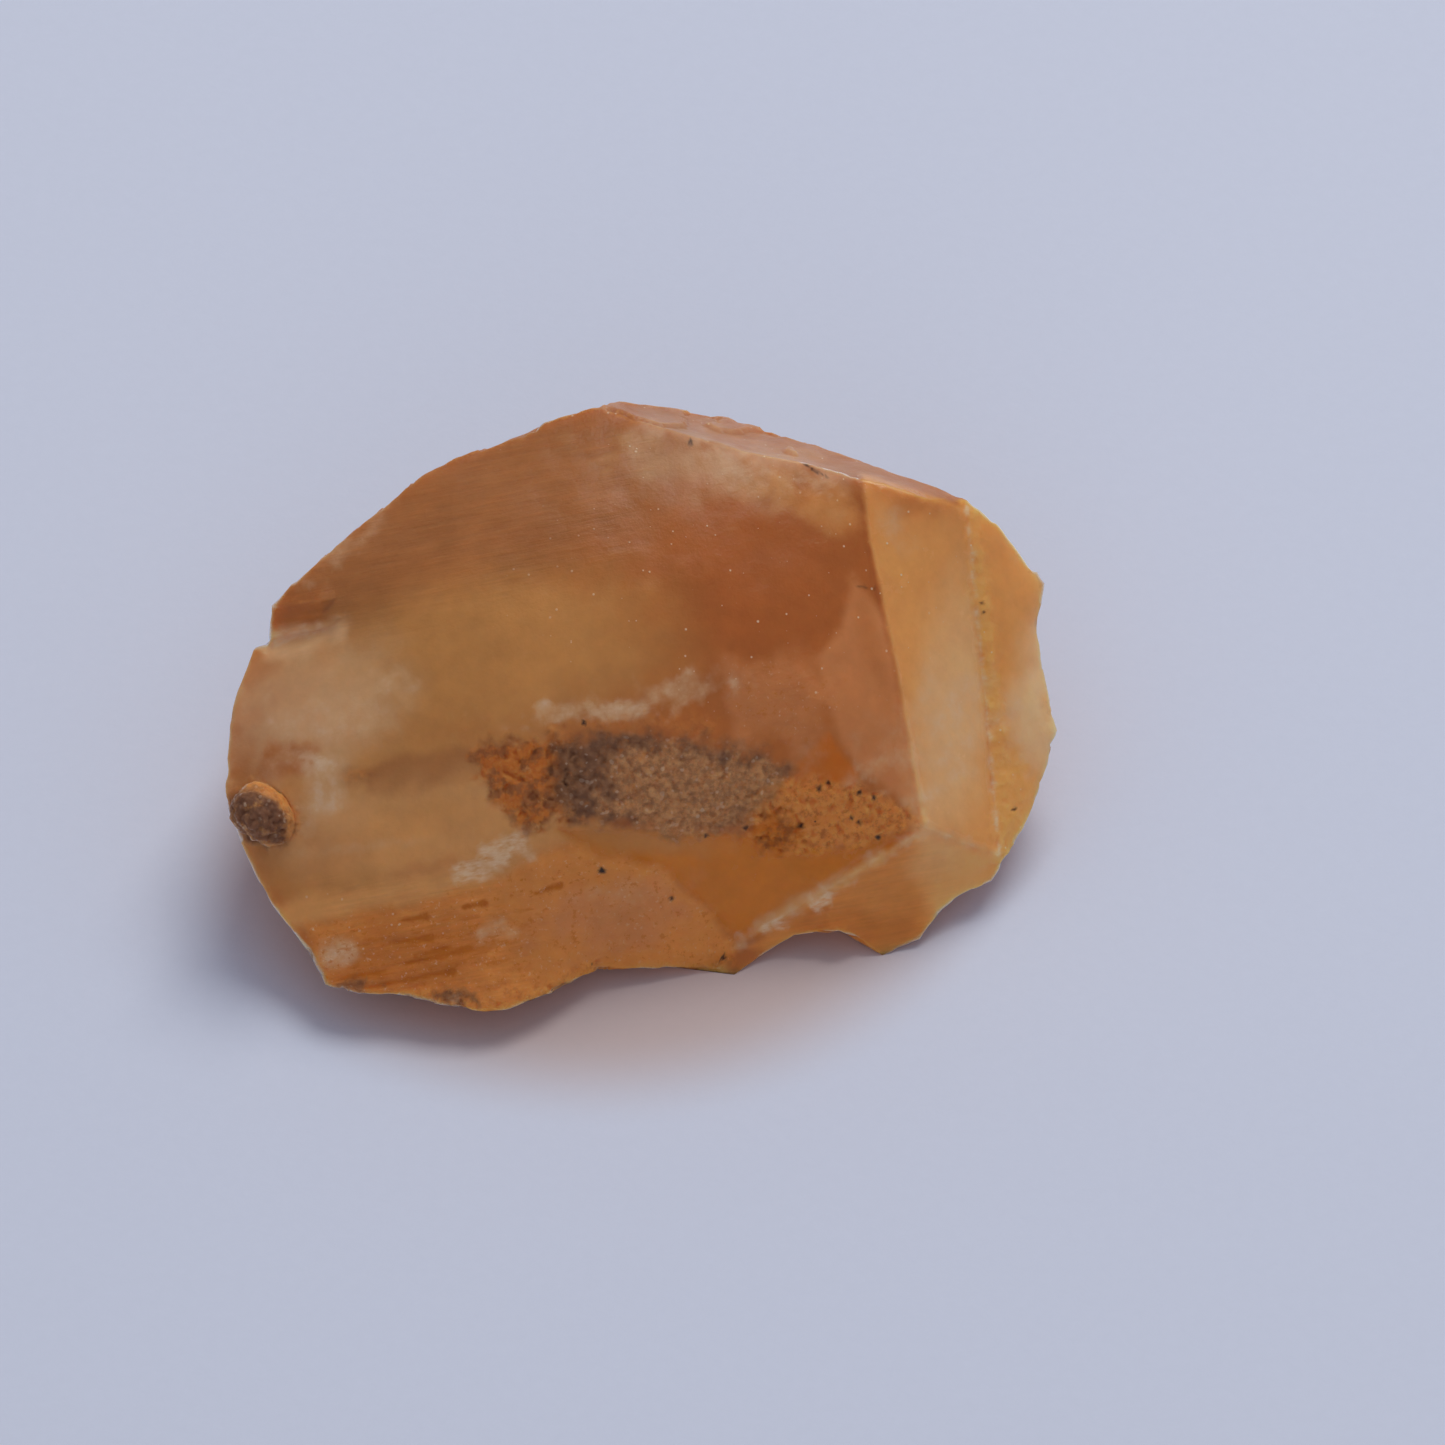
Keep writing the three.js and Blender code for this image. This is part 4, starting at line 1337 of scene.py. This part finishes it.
@dataclass(frozen=True)
class CalciteFinish:
    """Honey calcite: translucent, satin where it cleaves, with milky veils, crust, rust and grit."""

    palette: StonePalette = PALETTE
    scatter: float = 1.0
    scatter_depth: float = 2.0
    scatter_colours: Colour = (1.0, 0.96, 0.9)
    index: float = 1.55
    shine: float = 0.22
    roughness: float = 0.36
    roughness_clouds: tuple[float, float] = (2.4, 0.2)  # size and depth
    polish_gain: float = 0.12
    rougher: tuple[tuple[str, float], ...] = (
        ("crust", 0.4), ("rust", 0.3), ("loam", 0.3), ("sugar", 0.2), ("edge", 0.1),
    )
    sheen_coat: float = 0.25
    coat_roughness: float = 0.12
    clouds: tuple[tuple[float, float], ...] = ((6.0, 0.11), (1.3, 0.06))  # size and depth of each
    growth: LineSet = LineSet(0.3, 14.0)
    growth_swing: float = 0.34
    wisps: tuple[float, float] = (1.8, 0.1)  # size and depth
    veil_edge: tuple[float, float] = (0.2, 0.65)  # the cloud where a veil starts and is full
    veil_heart: tuple[float, float] = (0.5, 0.8)  # the same for its creamy middle
    fibres: LineSet = LineSet(0.34, 3.0, 0.2, 0.64)
    dashes: LineSet = LineSet(0.7, 4.0, 0.56, 0.66)
    flecks: Mottle = Mottle(1.5, 4.0, 0.7, 0.57, 0.66)
    glints: Mottle = Mottle(2.4, 3.0, 0.7, 0.6, 0.7)
    worn_glow_nicks: Mottle = Mottle(1.6, 3.0, 0.6, 0.5, 0.7)
    blotches: Mottle = Mottle(0.62, 3.0, 0.55, 0.43, 0.58)
    crumbs: Mottle = Mottle(1.7, 4.0, 0.7, 0.46, 0.68)
    lumps: Mottle = Mottle(1.7, 4.0, 0.7, 0.38, 0.6)
    mottle: tuple[float, float, float] = (0.9, 4.0, 0.65)  # scale, detail and roughness
    loam_edge: tuple[float, float] = (0.18, 0.4)  # the mottle where the loam starts and is full
    rust_edge: tuple[float, float] = (0.2, 0.42)
    crust_edge: tuple[float, float] = (0.12, 0.5)
    ash_swing: tuple[float, float] = (0.46, 0.56)  # the ash that lumps add, and the least ash
    pale_grit: tuple[float, float] = (0.75, 0.95)
    covers: Covers = Covers()
    hackle: tuple[float, float, float] = (2.6, 4.0, 0.6)
    steps: LineSet = LineSet(0.6, 1.8)
    heights: Heights = Heights()
    grit_size: float = 0.42
    sand: GrainSet = GrainSet(0.6, 0.17, 0.26)
    dark_grains: GrainSet = GrainSet(1.1, 0.12, 0.16)

    def build(self) -> bpy.types.Material:
        """Makes the material.

        Returns:
            The finish, ready for a piece's slot.
        """
        material = bpy.data.materials.new("Honey calcite")
        material.use_nodes = True
        shader = material.node_tree.nodes["Principled BSDF"]
        sketch = Sketch(material.node_tree)
        place = sketch.millimetres()
        layers = Layers(
            sketch,
            place,
            lines=self.growth.lines(sketch, place),
            grit=sketch.use(Grit().build(), Place=place, Size=self.grit_size),
            sand=self.sand.draw(sketch, place),
            colour=sketch.node("ShaderNodeAttribute", attribute_name="tint").outputs["Color"],
        )
        self._lay_body(layers)
        self._lay_texture(layers)
        self._lay_earth(layers)
        self._lay_grains(layers)
        sketch.feed(shader.inputs["Base Color"], layers.colour)
        sketch.feed(shader.inputs["Roughness"], self._roughness(layers))
        sketch.feed(shader.inputs["Coat Weight"], layers.zone("polish", self.sheen_coat))
        sketch.feed(shader.inputs["Normal"], self._bump(layers))
        shader.inputs["Coat Roughness"].default_value = self.coat_roughness
        shader.inputs["IOR"].default_value = self.index
        shader.inputs["Specular IOR Level"].default_value = self.shine
        shader.inputs["Subsurface Weight"].default_value = self.scatter
        shader.inputs["Subsurface Radius"].default_value = self.scatter_colours
        shader.inputs["Subsurface Scale"].default_value = self.scatter_depth * MM
        return material

    def _lay_body(self, layers: Layers) -> None:
        """The translucent stone itself: painted tone, clouds, growth lines, veils and blooms."""
        sketch, place = layers.sketch, layers.place
        for size, depth in self.clouds:
            shade = sketch.use(Clouding().build(), Place=place, Size=size, Depth=depth).outputs["Shade"]
            layers.colour = sketch.scaled(layers.colour, shade)
        swing = sketch.times(sketch.maths("SUBTRACT", layers.lines, 0.5), self.growth_swing)
        layers.lay(sketch.scaled(layers.colour, sketch.maths("ADD", 1.0, swing)), layers.zone("streak"))
        size, depth = self.wisps
        cloud = sketch.use(Clouding().build(), Place=place, Size=size, Depth=depth).outputs["Cloud"]
        veil = layers.zone("veil", sketch.rise(cloud, *self.veil_edge))
        cover = self.covers
        layers.lay(self.palette.milk, veil, cover.veil)
        layers.lay(self.palette.chip, veil, cover.cream, sketch.rise(cloud, *self.veil_heart))
        layers.lay(self.palette.bloom, layers.zone("bloom"), self.fibres.draw(sketch, place), cover.bloom)

    def _lay_texture(self, layers: Layers) -> None:
        """Stripes and strokes, the flecks and glints of the hackly lobe, and worn edges in an orange that
        is partly a painted glow.
        """
        sketch, place, cover = layers.sketch, layers.place, self.covers
        stripes = layers.zone("dash", self.dashes.draw(sketch, place), cover.dash)
        stripes = sketch.maths("MAXIMUM", stripes, sketch.mask("stroke"))
        layers.lay(self.palette.stroke, stripes, cover.stripes)
        hackly = sketch.mask("hackly")
        layers.lay(self.palette.stroke, hackly, self.flecks.draw(sketch, place), cover.fleck)
        layers.lay(self.palette.bloom, hackly, self.glints.draw(sketch, place), cover.glint)
        # worn edges near crisp edges, laid in orange sand colour: partly wear and partly a painted glow
        # for light through the thin edges
        layers.lay(self.palette.sand, layers.zone("edge"), self.worn_glow_nicks.draw(sketch, place), cover.worn_glow)

    def _lay_earth(self, layers: Layers) -> None:
        """Sandy loam, rust stain and the dark crust over the stone."""
        sketch, place, palette, cover = layers.sketch, layers.place, self.palette, self.covers
        mottle = sketch.noise(place, *self.mottle)
        loam = sketch.blend(self.crumbs.draw(sketch, place), palette.loam, palette.dark_loam)
        layers.lay(loam, layers.zone("loam"), sketch.rise(mottle, *self.loam_edge), cover.loam)
        rust = sketch.blend(self.blotches.draw(sketch, place), palette.rust, palette.dark_rust)
        layers.lay(rust, layers.zone("rust"), sketch.rise(mottle, *self.rust_edge), cover.rust)
        lumps = sketch.maths("MULTIPLY_ADD", self.lumps.draw(sketch, place), *self.ash_swing)
        ashy = layers.zone("ash", lumps)
        crust = sketch.blend(ashy, palette.charcoal, palette.ash)
        pale = sketch.times(sketch.rise(layers.grit.outputs["Tone"], *self.pale_grit), cover.pale_grit)
        crust = sketch.blend(pale, crust, palette.chip)
        layers.lay(crust, layers.zone("crust"), sketch.rise(mottle, *self.crust_edge))

    def _lay_grains(self, layers: Layers) -> None:
        """Loose pale grains, partly dust and partly painted sparkle, dark grains in the loam and the
        single dark specks.
        """
        dark = self.dark_grains.draw(layers.sketch, layers.place)
        # pale grains: partly dust, partly painted sparkle on the dome, the crest and the back
        layers.lay(self.palette.bloom, layers.zone("dust_and_sparkle"), layers.sand, self.covers.dust_and_sparkle)
        layers.lay(self.palette.bloom, layers.zone("sugar"), layers.sand, self.covers.sparks)
        layers.lay(self.palette.speck, layers.zone("loam"), dark, self.covers.dark_grains)
        layers.lay(self.palette.speck, layers.zone("speck"))

    def _roughness(self, layers: Layers) -> Socket:
        """Satin stone, smoother on the cleavages and rough on crust and grit."""
        sketch = layers.sketch
        size, depth = self.roughness_clouds
        clouds = sketch.use(Clouding().build(), Place=layers.place, Size=size, Depth=depth)
        cloudy = sketch.times(clouds.outputs["Shade"], self.roughness)
        rough = sketch.maths("SUBTRACT", cloudy, layers.zone("polish", self.polish_gain))
        for name, more in self.rougher:
            rough = sketch.maths("ADD", rough, layers.zone(name, more), clamp=True)
        return rough

    def _bump(self, layers: Layers) -> Socket:
        """The finest relief, in millimetres."""
        sketch = layers.sketch
        grit = layers.grit.outputs["Height"]
        earth = sketch.maths("MAXIMUM", sketch.mask("rust"), sketch.mask("loam"))
        earth = sketch.maths("MAXIMUM", sketch.mask("crust"), earth)
        parts = (
            (sketch.noise(layers.place, *self.hackle), self.heights.hackle),
            (layers.zone("streak", layers.lines), self.heights.growth),
            (sketch.times(grit, earth), self.heights.earth),
            (layers.zone("sugar", grit), self.heights.sugar),
            (layers.zone("hackly", self.steps.lines(sketch, layers.place)), self.heights.steps),
            (layers.zone("dust_and_sparkle", layers.sand), self.heights.dust_and_sparkle),
        )
        total: Value = 0.0
        for height, amount in parts:
            total = sketch.maths("ADD", total, sketch.times(height, amount))
        return sketch.bump(total, 1.0, MM)


@dataclass(frozen=True)
class PaperFinish:
    """Matt white paper with a faint tooth, and a painted shadow near the stone, tinted warm as if by the
    light that comes through the stone.

    Attributes:
        colour: The paper's own colour.
        painted_shadow: The colour of the paper in its painted shadow near the stone.
        painted_shadow_middle: The middle of the painted shadow.
        painted_shadow_reach: The half width and half depth of the painted shadow.
        painted_shadow_fade: The shares of the reach where the painted shadow starts to fade and where it
            ends.
        roughness: How matt it is.
        cloud_size: The size of its slow changes of shade.
        cloud_depth: How strong they are.
        tooth: The size of its grains.
        tooth_strength: How much of the grain shows.
        tooth_height: How high a grain stands.
    """

    colour: Colour = (0.80, 0.817, 0.885)
    painted_shadow: Colour = (0.69, 0.55, 0.495)
    painted_shadow_middle: tuple[float, float] = (-4.0, -3.0)
    painted_shadow_reach: tuple[float, float] = (30.0, 26.0)
    painted_shadow_fade: tuple[float, float] = (0.8, 1.2)
    roughness: float = 0.9
    cloud_size: float = 1.2
    cloud_depth: float = 0.012
    tooth: float = 0.35
    tooth_strength: float = 0.25
    tooth_height: float = 0.05

    def build(self) -> bpy.types.Material:
        """Makes the material.

        Returns:
            The finish, ready for a piece's slot.
        """
        material = bpy.data.materials.new("White paper")
        material.use_nodes = True
        tree = material.node_tree
        shader = tree.nodes["Principled BSDF"]
        sketch = Sketch(tree)
        place = sketch.millimetres()
        clouds = sketch.use(Clouding().build(), Place=place, Size=self.cloud_size, Depth=self.cloud_depth)
        shifted = sketch.node("ShaderNodeVectorMath", operation="SUBTRACT")
        sketch.feed(shifted.inputs[0], place)
        sketch.feed(shifted.inputs[1], (*self.painted_shadow_middle, 0.0))
        squeezed = sketch.node("ShaderNodeVectorMath", operation="DIVIDE")
        sketch.feed(squeezed.inputs[0], shifted.outputs[0])
        sketch.feed(squeezed.inputs[1], (*self.painted_shadow_reach, 1.0))
        away = sketch.node("ShaderNodeVectorMath", operation="LENGTH")
        sketch.feed(away.inputs[0], squeezed.outputs[0])
        # painted shadow: the paper turns darker and warmer in an oval around the stone's foot, standing
        # in for its shadow and the light through it
        under = sketch.maths("SUBTRACT", 1.0, sketch.rise(away.outputs["Value"], *self.painted_shadow_fade))
        colour = sketch.blend(under, self.colour, self.painted_shadow)
        sketch.feed(shader.inputs["Base Color"], sketch.scaled(colour, clouds.outputs["Shade"]))
        shader.inputs["Roughness"].default_value = self.roughness
        grit = sketch.use(Grit().build(), Place=place, Size=self.tooth)
        bump = sketch.bump(grit.outputs["Height"], self.tooth_strength, self.tooth_height * MM)
        sketch.feed(shader.inputs["Normal"], bump)
        return material


# ---- The assemblies.


@dataclass
class CalciteSpecimen:
    """The chunk itself."""

    skin: Skin = field(default_factory=Skin)
    finish: CalciteFinish = field(default_factory=CalciteFinish)

    def build(self, node: bpy.types.Object) -> list[bpy.types.Object]:
        """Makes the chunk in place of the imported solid.

        Args:
            node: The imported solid.

        Returns:
            The pieces made.
        """
        piece = self.skin.build(node, "calcite_body")
        piece.data.materials.clear()
        piece.data.materials.append(self.finish.build())
        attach(piece, BODY)
        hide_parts(CHUNK_NODE)
        return [piece]


@dataclass
class PaperTable:
    """A wide sheet of paper that the chunk rests on."""

    half_width: float = 4000.0
    finish: PaperFinish = field(default_factory=PaperFinish)

    def build(self) -> list[bpy.types.Object]:
        """Lays the paper at the height of the chunk's lowest point.

        Returns:
            The pieces made.
        """
        w = self.half_width * MM
        z = CAD_BOX[0][2]
        mesh = bpy.data.meshes.new("paper")
        mesh.from_pydata([(-w, -w, z), (w, -w, z), (w, w, z), (-w, w, z)], [], [(0, 1, 2, 3)])
        paper = bpy.data.objects.new("paper", mesh)
        bpy.context.scene.collection.objects.link(paper)
        mesh.materials.append(self.finish.build())
        return [paper]


@dataclass
class Softbox:
    """A large soft lamp that looks at the chunk.

    Attributes:
        azimuth: Where it hangs, in degrees from +X towards +Y.
        elevation: How high it hangs, in degrees.
        distance: How far from the chunk.
        side: The length of its sides.
        power: Its power in watts.
        colour: Its colour.
    """

    azimuth: float = 65.0
    elevation: float = 58.0
    distance: float = 1200.0
    side: float = 650.0
    power: float = 6.4
    colour: Colour = (0.97, 0.98, 1.0)

    def build(self, aim: Vector) -> bpy.types.Object:
        """Hangs the lamp.

        Args:
            aim: The point it looks at, in metres.

        Returns:
            The lamp.
        """
        a, e = math.radians(self.azimuth), math.radians(self.elevation)
        away = Vector((math.cos(e) * math.cos(a), math.cos(e) * math.sin(a), math.sin(e)))
        data = bpy.data.lights.new("softbox", "AREA")
        data.size = self.side * MM
        data.energy = self.power
        data.color = self.colour
        lamp = bpy.data.objects.new("softbox", data)
        lamp.location = aim + away * self.distance * MM
        lamp.rotation_euler = away.to_track_quat("Z", "Y").to_euler()
        bpy.context.scene.collection.objects.link(lamp)
        return lamp


@dataclass
class Studio:
    """The pale room, the lamps and the camera."""

    key: Softbox = field(default_factory=Softbox)
    fill: Softbox = field(
        default_factory=lambda: Softbox(
            azimuth=-92.0, elevation=26.0, distance=1500.0, side=900.0, power=1.5
        )
    )
    sky: Colour = (0.52, 0.57, 0.74)
    sky_strength: float = 0.5
    camera_elevation: float = 50.0
    camera_distance: float = 1200.0
    view_width: float = 122.0
    aim_offset: tuple[float, float, float] = (6.7, 0.9, -4.5)
    sensor: float = 36.0

    def build(self) -> None:
        """Lights the room and places the camera."""
        low, high = Vector(CAD_BOX[0]), Vector(CAD_BOX[1])
        centre = (low + high) / 2
        self.key.build(centre)
        self.fill.build(centre)
        self._light_room()
        self._place_camera(centre + Vector(self.aim_offset) * MM)

    def _light_room(self) -> None:
        """Fills the room with even pale light and keeps the picture's colours plain."""
        world = bpy.data.worlds.new("Pale room")
        world.use_nodes = True
        background = world.node_tree.nodes["Background"]
        background.inputs["Color"].default_value = (*self.sky, 1.0)
        background.inputs["Strength"].default_value = self.sky_strength
        bpy.context.scene.world = world
        bpy.context.scene.view_settings.view_transform = "Standard"

    def _place_camera(self, aim: Vector) -> None:
        """Sets a long lens at the viewing angle.

        Args:
            aim: The point at the middle of the picture, in metres.
        """
        e = math.radians(self.camera_elevation)
        away = Vector((0.0, -math.cos(e), math.sin(e)))
        data = bpy.data.cameras.new("camera")
        data.sensor_width = self.sensor
        data.lens = self.sensor * self.camera_distance / self.view_width
        data.clip_start = 10.0 * MM
        data.clip_end = 20000.0 * MM
        camera = bpy.data.objects.new("camera", data)
        camera.location = aim + away * self.camera_distance * MM
        camera.rotation_euler = away.to_track_quat("Z", "Y").to_euler()
        bpy.context.scene.collection.objects.link(camera)
        bpy.context.scene.camera = camera


def report(pieces: Sequence[bpy.types.Object]) -> None:
    """Logs each piece with its size.

    Args:
        pieces: The pieces just built.
    """
    for piece in pieces:
        size = " x ".join(f"{side / MM:.1f}" for side in piece.dimensions)
        log.info("%s: %d faces, %s mm", piece.name, len(piece.data.polygons), size)


def main() -> None:
    """Builds the specimen, the table and the studio."""
    logging.basicConfig(level=logging.INFO, format="%(name)s: %(message)s")
    report(CalciteSpecimen().build(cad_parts[CHUNK_NODE]))
    report(PaperTable().build())
    Studio().build()


if __name__ == "__main__":
    main()
